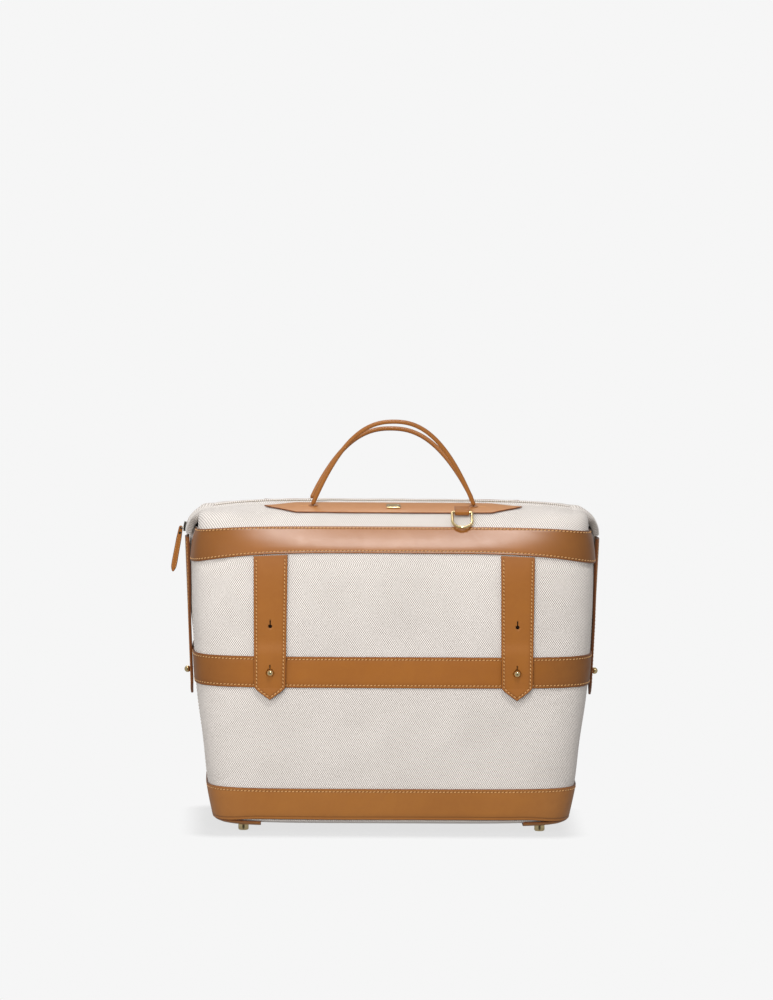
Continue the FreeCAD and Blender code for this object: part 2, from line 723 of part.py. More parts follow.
def slider():
    """Channel over the teeth with a wire bail on its back."""
    start = SLIDER_TURN - SLIDER_SPAN / 2
    stop = start + SLIDER_SPAN
    body = ear_layer(SLIDER_LOW_R, SLIDER_TOP_R, start, stop, SLIDER_HALF, SLIDER_HALF)
    room = ear_layer(SLIDER_LOW_R - 1.0, SLIDER_MID_R, start - 2.0, stop + 2.0, SLIDER_CHANNEL, SLIDER_CHANNEL)
    body = body.cut(room)
    posts = []
    for y in (-BAIL_HALF, BAIL_HALF):
        root = V(EAR_X + SLIDER_TOP_R - 1.0, y, PULLER_Z)
        posts.append(cylinder(BAIL_POST_R, root, V(PULLER_X, y, PULLER_Z)))
    bar = cylinder(BAIL_R, V(PULLER_X, -BAIL_HALF - BAIL_R, PULLER_Z), V(PULLER_X, BAIL_HALF + BAIL_R, PULLER_Z))
    for piece in posts + [bar]:
        body = body.fuse(piece)
    return to_left(body.removeSplitter())


def puller():
    """Pointed leather strip hung on the bail, and the small rivet through it."""
    eye = BAIL_R + 0.3
    points = []
    for turn in range(180, -1, -15):
        angle = math.radians(turn)
        points.append(V(PULLER_HALF_TOP * math.cos(angle), 0, PULLER_HALF_TOP * math.sin(angle)))
    points += [
        V(PULLER_HALF, 0, -12.0), V(PULLER_HALF, 0, -PULLER_LONG + 6.0), V(0, 0, -PULLER_LONG),
        V(-PULLER_HALF, 0, -PULLER_LONG + 6.0), V(-PULLER_HALF, 0, -12.0),
    ]
    strip = outline_prism(points, V(0, PULLER_THICK, 0))
    strip.translate(V(0, -PULLER_THICK / 2, 0))
    strip = strip.cut(cylinder(eye, V(0, -5, 0), V(0, 5, 0)))
    strip = strip.cut(cylinder(RIVET_R + 0.05, V(0, -5, -6), V(0, 5, -6)))
    rivet = cylinder(RIVET_R, V(0, -PULLER_THICK / 2 - 0.5, -6), V(0, PULLER_THICK / 2 + 0.5, -6))
    placed = []
    for shape in (strip, rivet):
        shape.rotate(V(0, 0, 0), V(0, 1, 0), PULLER_LEAN)
        shape.translate(V(-PULLER_X, 0, PULLER_Z))
        placed.append(shape)
    return placed


# output

def save(name, shape):
    if not shape.isValid():
        shape.fix(0.01, 0.01, 0.01)
    if shape.Volume < 0:
        shape.reverse()
    placed = shape.copy()
    placed.translate(V(SHIFT_X, 0, 0))
    box = placed.BoundBox
    print("%-24s valid %-5s solids %3d volume %10.1f  x %7.1f %7.1f  y %7.1f %7.1f  z %6.1f %6.1f" % (
        name, placed.isValid(), len(placed.Solids), placed.Volume,
        box.XMin, box.XMax, box.YMin, box.YMax, box.ZMin, box.ZMax))
    placed.exportStep(os.path.join(PARTS, name + ".step"))


def save_group(name, shapes):
    solids = []
    for shape in shapes:
        solids.extend(shape.Solids)
    save(name, Part.makeCompound(solids))


def build():
    os.makedirs(PARTS, exist_ok=True)
    body_walls()
    leather_ring("base_band", BASE_LOW_Z, BASE_TOP_Z)
    leather_ring("belt", BELT_LOW_Z, BELT_TOP_Z)
    upper_bands()
    bottom()
    feet()
    mouth_halves()
    end_folds()
    save("front_handle", handle(-HANDLE_Y, 0.0))
    save("rear_handle", handle(HANDLE_Y, REAR_HANDLE_LEAN))
    save("d_ring", ring())
    save("d_ring_loop", ring_loop())
    front_straps()
    side_straps()
    ears()
    save("zip_slider", slider())
    strip, rivet = puller()
    save("zip_puller", strip)
    save("puller_rivet", rivet)


build()
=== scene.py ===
"""Looks of the doctor bag: canvas shell, leather trim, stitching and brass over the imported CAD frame."""

import math

import bmesh
import bpy
import numpy as np
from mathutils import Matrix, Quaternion, Vector


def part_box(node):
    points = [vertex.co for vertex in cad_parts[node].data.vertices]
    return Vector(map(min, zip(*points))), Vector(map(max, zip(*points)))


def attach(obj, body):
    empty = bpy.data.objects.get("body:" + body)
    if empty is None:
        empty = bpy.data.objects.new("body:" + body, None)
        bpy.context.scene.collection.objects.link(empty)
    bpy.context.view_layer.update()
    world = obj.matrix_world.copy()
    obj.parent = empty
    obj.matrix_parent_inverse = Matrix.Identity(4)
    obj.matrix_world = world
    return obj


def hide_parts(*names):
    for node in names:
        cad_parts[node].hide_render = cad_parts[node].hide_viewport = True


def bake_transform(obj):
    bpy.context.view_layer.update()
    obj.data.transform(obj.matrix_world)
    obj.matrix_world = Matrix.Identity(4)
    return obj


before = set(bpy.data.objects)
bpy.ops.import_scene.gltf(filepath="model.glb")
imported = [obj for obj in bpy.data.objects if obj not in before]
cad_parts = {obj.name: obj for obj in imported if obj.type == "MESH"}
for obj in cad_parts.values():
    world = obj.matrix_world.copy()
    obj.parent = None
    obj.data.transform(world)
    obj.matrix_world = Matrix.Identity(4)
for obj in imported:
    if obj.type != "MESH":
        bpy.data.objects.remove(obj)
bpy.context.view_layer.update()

# the bag's own frame: millimetres from the middle of the canvas body, z from the ground
MM = 0.001
front_low, front_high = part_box("canvas_front_panel")
rear_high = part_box("canvas_rear_panel")[1]
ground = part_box("feet")[0].z
ORIGIN = np.array([(front_low.x + front_high.x) / 2, (front_low.y + rear_high.y) / 2, ground])

# body surface, the same numbers as the CAD
SQUARENESS = 5.5
HEIGHTS = [5.0, 15.0, 50.0, 100.0, 150.0, 185.0, 230.0, 260.0, 304.0, 331.0, 345.0, 351.0, 358.0]
HALF_WIDTHS = [202.5, 205.0, 211.6, 217.5, 223.6, 227.2, 229.4, 230.6, 231.4, 229.0, 225.0, 222.0, 217.0]
HALF_DEPTHS = [90.0, 93.0, 96.0, 98.6, 100.1, 100.5, 100.3, 99.8, 98.4, 96.0, 93.6, 92.4, 90.0]
LEAN_HEIGHTS = [5.0, 260.0, 284.0, 304.0, 321.0, 336.0, 351.0, 358.0]
LEANS = [0.0, 0.0, 0.3, 2.0, 6.0, 12.2, 19.5, 23.0]
SEAM_TURN = 20.8
SEAM_GAP = 0.12

# layers, measured out from the canvas surface
CANVAS = 1.6
LAY_GAP = 0.15
LEATHER = 1.8

# rim, bands and bottom
RIM_Z = 351.0
RIM_DROP = 6.0
WALL_FOOT_Z = 15.2
UPPER_BAND_LOW_Z = 322.0
UPPER_BAND_DROOP = 14.0
UPPER_BAND_DROOP_POWER = 4.6
BELT_LOW_Z = 168.6
BELT_TOP_Z = 204.6
BASE_LOW_Z = 15.2
BASE_TOP_Z = 52.0
BOTTOM_Z = 9.0
BOTTOM_RISE = 6.0
BOTTOM_POWER = 14.0
PATCH_X = 150.0
PATCH_Y = 42.0
PATCH_REACH = 0.992
PATCH_POWER = 40.0
FOOT_X = 170.0
FOOT_Y = 68.0

# domed top, its tabs and plaque
RIDGE_Z = 373.8
RIDGE_DROP = 7.4
RIDGE_DROP_POWER = 5.3
TOP_HALF_LENGTH = 205.0
ZIP_HALF_GAP = 9.0
TAB_HALF_LENGTH = 148.0
TAB_SHOULDER = 112.0
TAB_BACK_Y = 20.0
TAB_FRONT_Y = 54.0
TAB_TIP_Y = 34.0
PLAQUE_Y = 38.0

# handles and D-ring
HANDLE_R = 2.5
HANDLE_TIP_R = 1.55
HANDLE_X = 92.0
HANDLE_Y = 36.0
HANDLE_TALL = 94.1
HANDLE_POWER = 2.35
REAR_HANDLE_LEAN = 38.0
RING_X = 78.0
RING_WIRE_R = 1.75
RING_HALF_WIDTH = 11.25
RING_CORNER = 2.25
RING_LONG = 26.8
RING_PIVOT_Y = 60.3
RING_PIVOT_Z = 366.6
RING_HANG = 34.0
LOOP_HALF = 8.4
LOOP_LEAN = 16.0
LOOP_FLAT = 11.0
LOOP_R = 2.85

# buttoned straps and their studs
STRAP_THICK = 3.0
STRAP_INSET = 3.0
STRAP_X = 141.0
STRAP_HALF_TOP = 19.4
STRAP_HALF_LOW = 18.0
STRAP_TOP_Z = 320.1
STRAP_TOP_SLOPE = 1.6
STRAP_AIR = [0.6, 2.45]
STRAP_RISE_Z = [207.0, 222.0]
STRAP_TIP_LIFT = 0.12
STRAP_SHOULDER_Z = 169.0
STRAP_TIP_Z = 154.6
STUD_Z = 186.4
SPARE_HOLE_Z = 239.4
STUD_HOLE_R = 4.2
SPARE_HOLE_R = 2.2
BALL_R = 3.8
SLIT_LONG = 4.6
SLIT_HALF = 0.5

# side straps
SIDE_TOP_Z = 332.0
SIDE_TOP_X = 236.0
SIDE_TILT = 2.45
SIDE_STUD_Z = 177.0
SIDE_SPARE_Z = 230.0
SIDE_SHOULDER_Z = 163.5
SIDE_TIP_Z = 149.3
SIDE_HALF = 18.0

# folded ears and zip puller
EAR_X = 210.0
EAR_Z = 339.0
EAR_OUTER_R = 27.0
EAR_LOW = -8.0
EAR_HIGH = 93.0
EAR_HALF_ROOT = 42.0
EAR_HALF_END = 21.0
EAR_ZIP_SUNK = 1.2
PULLER_X = 243.8
PULLER_Z = 341.0
PULLER_LEAN = 10.0
PULLER_LONG = 52.0

# stitches, weave and soft edges
STITCH_PITCH = 4.2
STITCH_LONG = 2.9
STITCH_WIDE = 0.52
KNOT_LONG = 0.00241      # metres, along and across the cloth
KNOT_WIDE = 0.00347
EDGE_R = 0.9
THIN_EDGE_R = 0.8
SEAM_WIDE = 0.75
RIM_FADE = 1.6
QUARTER_TURN = np.sin(np.radians(np.arange(0, 91, 7.5)))    # stations that close up where a sheet turns down


# ---------------------------------------------------------------- surfaces

def along(stations, values, place):
    """Smooth curve through a list of stations."""
    s = np.asarray(stations, float)
    v = np.asarray(values, float)
    last = len(s) - 1
    place = np.clip(np.asarray(place, float), s[0], s[-1])
    i = np.clip(np.searchsorted(s, place, side="left") - 1, 0, last - 1)

    def slope(j):
        low = np.maximum(j - 1, 0)
        high = np.minimum(j + 1, last)
        return (v[high] - v[low]) / (s[high] - s[low])

    span = s[i + 1] - s[i]
    t = (place - s[i]) / span
    rise = v[i] * (2 * t ** 3 - 3 * t ** 2 + 1) + v[i + 1] * (3 * t ** 2 - 2 * t ** 3)
    swing = slope(i) * (t ** 3 - 2 * t ** 2 + t) + slope(i + 1) * (t ** 3 - t ** 2)
    return rise + swing * span


def points(x, y, z):
    x, y, z = np.broadcast_arrays(np.asarray(x, float), np.asarray(y, float), np.asarray(z, float))
    return np.stack([x, y, z], axis=-1)


def wall_share(turn):
    """Where a direction meets the boxy outline, as shares of the half width and half depth."""
    c = np.cos(np.radians(turn))
    s = np.sin(np.radians(turn))
    size = (np.abs(c) ** SQUARENESS + np.abs(s) ** SQUARENESS) ** (-1.0 / SQUARENESS)
    return c * size, s * size


def wall_at(share_x, share_y, z):
    """Point on the body; the front leans back above the belt."""
    out_x = along(HEIGHTS, HALF_WIDTHS, z) * share_x
    lean = along(LEAN_HEIGHTS, LEANS, z) * (1.0 - np.abs(share_x) ** 3)
    out_y = along(HEIGHTS, HALF_DEPTHS, z) * np.abs(share_y) - lean
    return points(out_x, -np.copysign(out_y, share_y), z)


def hard_wall(turn, z):
    share_x, share_y = wall_share(turn)
    return wall_at(share_x, share_y, z)


def unit(v):
    return v / np.linalg.norm(v, axis=-1, keepdims=True)


def normal_of(surface, a, b, da, db, away):
    """Normals of a surface, from moves of da and db along it, on the side that away points to."""
    n = np.cross(surface(a + da, b) - surface(a - da, b), surface(a, b + db) - surface(a, b - db))
    n /= np.maximum(np.linalg.norm(n, axis=-1, keepdims=True), 1e-12)
    side = np.sum(n * away(surface(a, b)), axis=-1, keepdims=True)
    return n * np.where(side < 0, -1.0, 1.0)


def from_axis(p):
    return p * np.array([1.0, 1.0, 0.0])


def upward(p):
    return np.broadcast_to(np.array([0.0, 0.0, 1.0]), p.shape)


def slack(p):
    """How far the cloth sags inside its fullest shape: slow, shallow waves, never outwards."""
    a = p[..., 0] + 1.3 * p[..., 1]
    z = p[..., 2]
    slow = np.sin(0.030 * a + 0.4 + 0.018 * z) * np.sin(0.043 * z + 1.1)
    quick = np.sin(0.081 * a - 0.035 * z + 2.0) * np.sin(0.06 * z + 0.012 * a)
    return -0.42 * (1 - slow) - 0.16 * (1 - quick)


def wall_normal(turn, z):
    return normal_of(hard_wall, turn, z, 0.05, 0.5, from_axis)


def pushed_wall(turn, z, push):
    """The wall moved along its normal by what push says at each point."""
    turn, z = np.broadcast_arrays(np.asarray(turn, float), np.asarray(z, float))
    p = hard_wall(turn, z)
    return p + wall_normal(turn, z) * push(p)[..., None]


def wall(turn, z):
    return pushed_wall(turn, z, slack)


def firm_wall(turn, z):
    """The wall under stiff leather, which evens out most of the cloth's slack."""
    return pushed_wall(turn, z, lambda p: 0.12 * slack(p) - 0.1)


# short creases in the canvas: x and z of both ends, width, depth
CREASES = [
    (-229.0, 314.0, -214.0, 305.8, 2.8, 2.4), (-193.0, 315.0, -214.0, 305.8, 2.8, 2.6),
    (166.0, 315.5, 217.0, 307.0, 3.0, 2.4), (230.0, 310.0, 216.0, 306.6, 2.8, 2.2),
    (222.0, 306.0, 204.0, 287.0, 4.5, 0.8), (-206.0, 305.0, -214.0, 288.0, 4.0, 0.7),
    (-196.0, 166.0, -150.0, 158.0, 4.0, 0.7), (196.0, 166.0, 158.0, 156.0, 4.0, 0.7),
    (-112.0, 316.0, -60.0, 306.0, 5.0, 0.6), (114.0, 316.0, 70.0, 304.0, 5.0, 0.6),
    (-206.0, 54.0, -176.0, 70.0, 5.0, 0.7), (204.0, 54.0, 180.0, 72.0, 5.0, 0.7),
]


def smooth(value, low, high):
    t = np.clip((value - low) / (high - low), 0, 1)
    return t * t * (3 - 2 * t)


def gusset_fullness(p):
    """How far the folded gusset swells out behind the side strap."""
    tall = smooth(p[..., 2], 212.0, 262.0)
    taper = np.maximum(231.4 - along(HEIGHTS, HALF_WIDTHS, p[..., 2]), 0.0) * (p[..., 2] > 304.0)
    return (2.4 * tall + taper) * np.exp(-(p[..., 1] / 14.0) ** 2) * (np.abs(p[..., 0]) > 150.0)


def canvas_wall(turn, z):
    turn, z = np.broadcast_arrays(np.asarray(turn, float), np.asarray(z, float))
    p = wall(turn, z)
    p = p + (np.sign(p[..., 0]) * gusset_fullness(p))[..., None] * np.array([1.0, 0.0, 0.0])
    dip = np.zeros(p.shape[:-1])
    for x0, z0, x1, z1, wide, deep in CREASES:
        dx, dz = x1 - x0, z1 - z0
        t = np.clip(((p[..., 0] - x0) * dx + (p[..., 2] - z0) * dz) / (dx * dx + dz * dz), 0, 1)
        d = np.hypot(p[..., 0] - x0 - t * dx, p[..., 2] - z0 - t * dz)
        dip += deep * np.exp(-(d / wide) ** 2) * (1 - 0.6 * t)
    return p - wall_normal(turn, z) * (dip * np.clip(np.abs(p[..., 1]) / 60.0, 0, 1))[..., None]


def rim_height(turn):
    """Top edge of the body, a little lower at its two ends."""
    return RIM_Z - RIM_DROP * np.abs(wall_share(turn)[0]) ** 8


def upper_band_low(turn):
    return UPPER_BAND_LOW_Z - UPPER_BAND_DROOP * np.abs(wall_share(turn)[0]) ** UPPER_BAND_DROOP_POWER


def rim_point(share_x):
    """Point on the front rim for a share of the half width."""
    share_y = np.maximum(1.0 - np.abs(share_x) ** SQUARENESS, 0.0) ** (1.0 / SQUARENESS)
    return wall_at(share_x, share_y, RIM_Z - RIM_DROP * np.abs(share_x) ** 8)


def rim_share(x):
    """Share of the half width at which the rim stands at x."""
    x = np.asarray(x, float)
    share = x / along(HEIGHTS, HALF_WIDTHS, RIM_Z)
    for _ in range(8):
        near = rim_point(share)[..., 0]
        share = np.where(np.abs(x) > 1e-6, share * x / np.where(np.abs(near) > 1e-9, near, 1.0), 0.0)
    return share


def crown(share):
    """Height of the dome's cross-section: 1 on the ridge, 0 on the rim."""
    return 1.0 - 0.45 * share ** 1.2 - 0.55 * share ** 5


def ridge(x):
    return RIDGE_Z - RIDGE_DROP * (np.abs(x) / TOP_HALF_LENGTH) ** RIDGE_DROP_POWER


def top_at(x, share):
    """Front half of the domed top; share 1 lies on the rim and 0 on the ridge."""
    share = np.maximum(share, 0.0)
    rim = rim_point(rim_share(x))
    z = rim[..., 2] + (ridge(x) - rim[..., 2]) * crown(share)
    return points(x, rim[..., 1] * share, z)


def top_under(x, y):
    """Point of the dome straight above or below x and y."""
    rim = rim_point(rim_share(x))
    return top_at(x, np.abs(y) / np.abs(rim[..., 1]))


TOP_REACH = 223.9
NOTCH_Y = 38.0
NOTCH_OUT = 0.6
END_RIM_Y = float(abs(rim_point(rim_share(np.array(TOP_HALF_LENGTH)))[1]))


def outward_up(p):
    """Up, and slightly away from the middle where the dome turns down."""
    return p * np.array([0.02, 0.02, 0.0]) + np.array([0.0, 0.0, 1.0])


def to_rear(p):
    return p * np.array([1.0, -1.0, 1.0])


def to_left(p):
    return p * np.array([-1.0, 1.0, 1.0])


ENDS = ("front", None), ("rear", to_rear)
SIDES = ("right", None), ("left", to_left)
CORNERS = (("front_right", None), ("front_left", to_left), ("rear_right", to_rear),
           ("rear_left", lambda p: to_left(to_rear(p))))


# ---------------------------------------------------------------- meshes

def rows(length, radius=EDGE_R, step=4.0, marks=()):
    """Stations from one edge to the other, close together where the edge rounds off and round each mark."""
    near = [0.0, 0.04 * radius, 0.16 * radius, 0.38 * radius, 0.68 * radius, radius, 1.8 * radius]
    keep = list(near) + [length - n for n in near]
    for m in marks:
        keep += [m - 1.1, m - 0.5, m, m + 0.5, m + 1.1]
    keep = sorted(k for k in keep if 0 <= k <= length)
    out = [keep[0]]
    for k in keep[1:]:
        gap = k - out[-1]
        if gap < 0.02:
            continue
        if gap > step:
            count = int(math.ceil(gap / step))
            start = out[-1]
            out += [start + gap * i / count for i in range(1, count)]
        out.append(k)
    return np.array(out)


def mesh_object(name, vertices, faces, materials, uv=None, face_material=None, attributes=None, rounded=True):
    """Object from points in the bag's millimetre frame."""
    mesh = bpy.data.meshes.new(name)
    world = np.asarray(vertices, float) * MM + ORIGIN
    mesh.from_pydata(world.tolist(), [], [list(map(int, f)) for f in faces])
    for m in materials:
        mesh.materials.append(m)
    if face_material is not None:
        mesh.polygons.foreach_set("material_index", np.asarray(face_material, np.int32))
    if uv is not None:
        loops = np.zeros(len(mesh.loops), np.int32)
        mesh.loops.foreach_get("vertex_index", loops)
        layer = mesh.uv_layers.new(name="UVMap")
        layer.data.foreach_set("uv", (np.asarray(uv, float)[loops] * MM).astype(np.float32).ravel())
    for key, values in (attributes or {}).items():
        a = mesh.attributes.new(key, "FLOAT", "POINT")
        a.data.foreach_set("value", np.asarray(values, np.float32).ravel())
    mesh.polygons.foreach_set("use_smooth", np.full(len(mesh.polygons), rounded))
    mesh.validate()
    mesh.update()
    obj = bpy.data.objects.new(name, mesh)
    bpy.context.scene.collection.objects.link(obj)
    return obj


def grid_faces(index, flip):
    corners = index[:-1, :-1], index[1:, :-1], index[1:, 1:], index[:-1, 1:]
    quads = np.stack([c.ravel() for c in corners], axis=1)
    return quads[:, ::-1] if flip else quads


def grid_lengths(p, axis):
    """Distance along a grid of points, from its first row or column."""
    d = np.linalg.norm(np.diff(p, axis=axis), axis=2)
    start = np.zeros_like(np.take(d, [0], axis=axis))
    return np.concatenate([start, np.cumsum(d, axis=axis)], axis=axis)


def cell_mean(values):
    return (values[:-1, :-1] + values[1:, :-1] + values[1:, 1:] + values[:-1, 1:]) / 4


def mirrors(transform):
    return transform is not None and np.linalg.det(transform(np.eye(3)) - transform(np.zeros((3, 3)))) < 0


def hole_walls(kept, top_index, low_index):
    """Faces that close a sheet where cells were left out of it."""
    walls = []
    for i, j in zip(*np.nonzero(kept)):
        for step_i, step_j, first, second in ((-1, 0, (0, 0), (0, 1)), (1, 0, (1, 1), (1, 0)),
                                              (0, -1, (1, 0), (0, 0)), (0, 1, (0, 1), (1, 1))):
            ni, nj = i + step_i, j + step_j
            if 0 <= ni < kept.shape[0] and 0 <= nj < kept.shape[1] and not kept[ni, nj]:
                a, b = (i + first[0], j + first[1]), (i + second[0], j + second[1])
                walls.append([top_index[a], top_index[b], low_index[b], low_index[a]])
    return walls


def sheet(name, p, n, low, high, edge, seam, uv, materials, radius, groove_depth, paint, transform=None, keep=None):
    """Closed sheet from a grid of points and normals, rounded off within radius of its edge.

    materials are the face, the cut edge and the back.
    """
    full = np.clip(edge / radius, 0, 1)
    full = np.sqrt(np.clip(1 - (1 - full) ** 2, 0, 1))
    middle, half = (low + high) / 2, (high - low) / 2
    up = p + n * (middle + half * full - groove_depth * seam)[..., None]
    down = p + n * (middle - half * full)[..., None]
    inside = np.zeros(p.shape[:2], bool)
    inside[1:-1, 1:-1] = True
    top_index = np.arange(inside.size).reshape(inside.shape)
    low_index = top_index.copy()
    low_index[inside] = inside.size + np.arange(int(inside.sum()))
    vertices = np.concatenate([up.reshape(-1, 3), down[inside]], axis=0)
    if transform is not None:
        vertices = transform(vertices)
    facing = float(np.sum(np.cross(np.gradient(p, axis=0), np.gradient(p, axis=1)) * n))
    flip = (facing < 0) != mirrors(transform)
    top, back = grid_faces(top_index, flip), grid_faces(low_index, not flip)
    on_edge = cell_mean(edge).ravel() < paint * radius
    above, below = np.where(on_edge, 1, 0), np.where(on_edge, 1, 2)
    walls = []
    if keep is not None:
        kept = keep(cell_mean(p))
        walls = hole_walls(kept, top_index, low_index)
        top, back, above, below = (rows_of[kept.ravel()] for rows_of in (top, back, above, below))
    faces = np.concatenate([top, back] + ([np.array(walls)] if walls else []))
    rim = np.exp(-edge / RIM_FADE)
    attributes = {
        "rim": np.concatenate([rim.ravel(), rim[inside]]),
        "seam": np.concatenate([seam.ravel(), np.zeros(int(inside.sum()))]),
    }
    piece = mesh_object(name, vertices, faces, materials, np.concatenate([uv.reshape(-1, 2), uv[inside]]),
                        np.concatenate([above, below, np.ones(len(walls), int)]), attributes)
    if walls:
        fix_normals(piece)
    return piece


def shell(name, surface, a, b, away, inner, outer, materials, radius=EDGE_R, steps=(0.05, 0.5), grooves=(),
          edge_distance=None, transform=None, groove_depth=0.35, keep=None, thick=None, paint=0.55):
    """Closed sheet between two offsets of a surface over stations a and b.

    steps are the moves in a and b that the normals are measured over; grooves are distances in from the b edges
    that a seam lies in; thick gives both offsets where they change over the sheet; keep says which cells stay.
    """
    A, B = np.meshgrid(a, b, indexing="ij")
    p = surface(A, B)
    n = normal_of(surface, A, B, steps[0], steps[1], away)
    length_a = grid_lengths(p, 0)
    length_b = grid_lengths(p, 1)
    from_b = np.minimum(length_b, length_b[:, -1:] - length_b)
    if edge_distance is None:
        edge = np.minimum(np.minimum(length_a, length_a[-1:] - length_a), from_b)
    else:
        edge = edge_distance(A, B)
    low, high = thick(A, B) if thick else (np.full(A.shape, float(inner)), np.full(A.shape, float(outer)))
    seam = np.zeros(A.shape)
    for g in grooves:
        seam = np.maximum(seam, np.exp(-((from_b - g) / SEAM_WIDE) ** 2))
    return sheet(name, p, n, low, high, edge, seam, np.stack([length_a, length_b], axis=-1), materials, radius,
                 groove_depth, paint, transform, keep)


def tube(name, path, radii, materials, sides):
    """Round tube along a path, flat at its ends; the UV runs along it."""
    path = np.asarray(path, float)
    count = len(path)
    radii = np.broadcast_to(np.asarray(radii, float), (count,))
    tangent = np.gradient(path, axis=0)
    tangent /= np.linalg.norm(tangent, axis=1, keepdims=True)
    side = np.array([0.0, 1.0, 0.0])
    turn = np.linspace(0, 2 * math.pi, sides + 1)[:-1]
    rings = []
    for place, t, r in zip(path, tangent, radii):
        side = side - t * np.dot(side, t)
        side = side / np.linalg.norm(side)
        rings.append(place + r * (np.outer(np.cos(turn), side) + np.outer(np.sin(turn), np.cross(t, side))))
    cum = np.concatenate([[0], np.cumsum(np.linalg.norm(np.diff(path, axis=0), axis=1))])
    index = np.arange(count * sides).reshape(count, sides)
    faces = grid_faces(np.concatenate([index, index[:, :1]], axis=1), False).tolist()
    faces += [index[0].tolist(), index[-1][::-1].tolist()]
    uv = np.stack([np.repeat(cum, sides), np.tile(turn * radii.mean(), count)], axis=1)
    obj = mesh_object(name, np.array(rings).reshape(-1, 3), faces, materials, uv)
    fix_normals(obj)
    return obj


def fix_normals(obj):
    bm = bmesh.new()
    bm.from_mesh(obj.data)
    bmesh.ops.recalc_face_normals(bm, faces=bm.faces)
    bm.to_mesh(obj.data)
    bm.free()


def ring_faces(count, sides, base=0, closed=False):
    """Faces between rings of points, with both ends filled unless the last ring joins the first."""
    faces = []
    for i in range(count if closed else count - 1):
        j = (i + 1) % count
        for k in range(sides):
            n = (k + 1) % sides
            faces.append([base + i * sides + k, base + i * sides + n, base + j * sides + n, base + j * sides + k])
    if not closed:
        faces += [[base + i * sides + k for k in range(sides)] for i in (0, count - 1)]
    return faces


def lathe(name, profile, places, axes, materials, sides=40):
    """Turned pieces: a profile of (radius, height) pairs stood at each place along its axis."""
    vertices, faces, uv = [], [], []
    for place, axis in zip(places, axes):
        axis = np.asarray(axis, float) / np.linalg.norm(axis)
        side = np.cross(axis, [0.0, 0.0, 1.0])
        if np.linalg.norm(side) < 1e-6:
            side = np.array([1.0, 0.0, 0.0])
        side /= np.linalg.norm(side)
        up = np.cross(axis, side)
        faces += ring_faces(len(profile), sides, len(vertices))
        for r, h in profile:
            for k in range(sides):
                t = 2 * math.pi * k / sides
                vertices.append(np.asarray(place) + axis * h + (side * math.cos(t) + up * math.sin(t)) * max(r, 0.001))
                uv.append((t * 4.0, h))
    obj = mesh_object(name, vertices, faces, materials, uv)
    fix_normals(obj)
    return obj


def thread_mesh(name, runs, materials, length=STITCH_LONG, wide=STITCH_WIDE, slant=14.0):
    """Stitches: each run is (centres, directions, normals), and every stitch a thin bowed capsule."""
    ring_at = np.array([-1.0, -0.72, -0.3, 0.3, 0.72, 1.0])
    ring_r = np.array([0.35, 0.85, 1.0, 1.0, 0.85, 0.35])
    ring_rise = np.array([-0.55, -0.12, 0.10, 0.10, -0.12, -0.55])
    count, sides = len(ring_at), 6
    turn = np.arange(sides) * 2 * math.pi / sides
    a = math.radians(slant)
    cell = np.arange(count * sides).reshape(count, sides)
    quads = grid_faces(np.concatenate([cell, cell[:, :1]], axis=1), True)
    caps = np.stack([cell[0], cell[-1][::-1]])
    vertices, faces = [], []
    base = 0
    for centres, directions, normals in runs:
        d, n = unit(directions), unit(normals)
        e = d * math.cos(a) + np.cross(n, d) * math.sin(a)
        side = np.cross(n, e)
        centres, e, n, side = (v[:, None, None, :] for v in (centres, e, n, side))
        grid = (centres + e * (ring_at * length / 2)[None, :, None, None]
                + n * (ring_rise * wide)[None, :, None, None]
                + side * (ring_r[:, None] * np.cos(turn)[None, :] * wide)[None, :, :, None]
                + n * (ring_r[:, None] * np.sin(turn)[None, :] * wide * 0.8)[None, :, :, None])
        vertices.append(grid.reshape(-1, 3))
        offsets = base + np.arange(len(grid))[:, None, None] * cell.size
        faces.extend((quads[None] + offsets).reshape(-1, 4).tolist())
        faces.extend((caps[None] + offsets).reshape(-1, sides).tolist())
        base += len(grid) * cell.size
    return mesh_object(name, np.concatenate(vertices), faces, materials)


def run_along(curve, normal, start=2.6, stop=2.6, pitch=STITCH_PITCH, lift=0.0):
    """Even stitch places along a curve given for t from 0 to 1."""
    t = np.linspace(0, 1, 800)
    p = curve(t)
    cum = np.concatenate([[0], np.cumsum(np.linalg.norm(np.diff(p, axis=0), axis=1))])
    total = cum[-1] - start - stop
    number = max(int(round(total / pitch)), 1)
    places = start + (np.arange(number) + 0.5) * total / number
    ti = np.interp(places, cum, t)
    e = 1e-3
    centres = curve(ti)
    directions = curve(np.clip(ti + e, 0, 1)) - curve(np.clip(ti - e, 0, 1))
    n = normal(ti)
    return centres + n * lift, directions, n


def mirrored_run(run, mirror):
    if mirror is None:
        return run
    zero = mirror(np.zeros((1, 3)))
    return tuple(mirror(r) - zero if i else mirror(r) for i, r in enumerate(run))


# ---------------------------------------------------------------- materials

def linear(*levels):
    """Colour from screen levels of 0 to 255."""
    shares = [c / 255.0 for c in levels]
    return tuple(c / 12.92 if c <= 0.04045 else ((c + 0.055) / 1.055) ** 2.4 for c in shares) + (1.0,)


def darker(colour, share):
    return tuple(c * share for c in colour[:3]) + (1.0,)


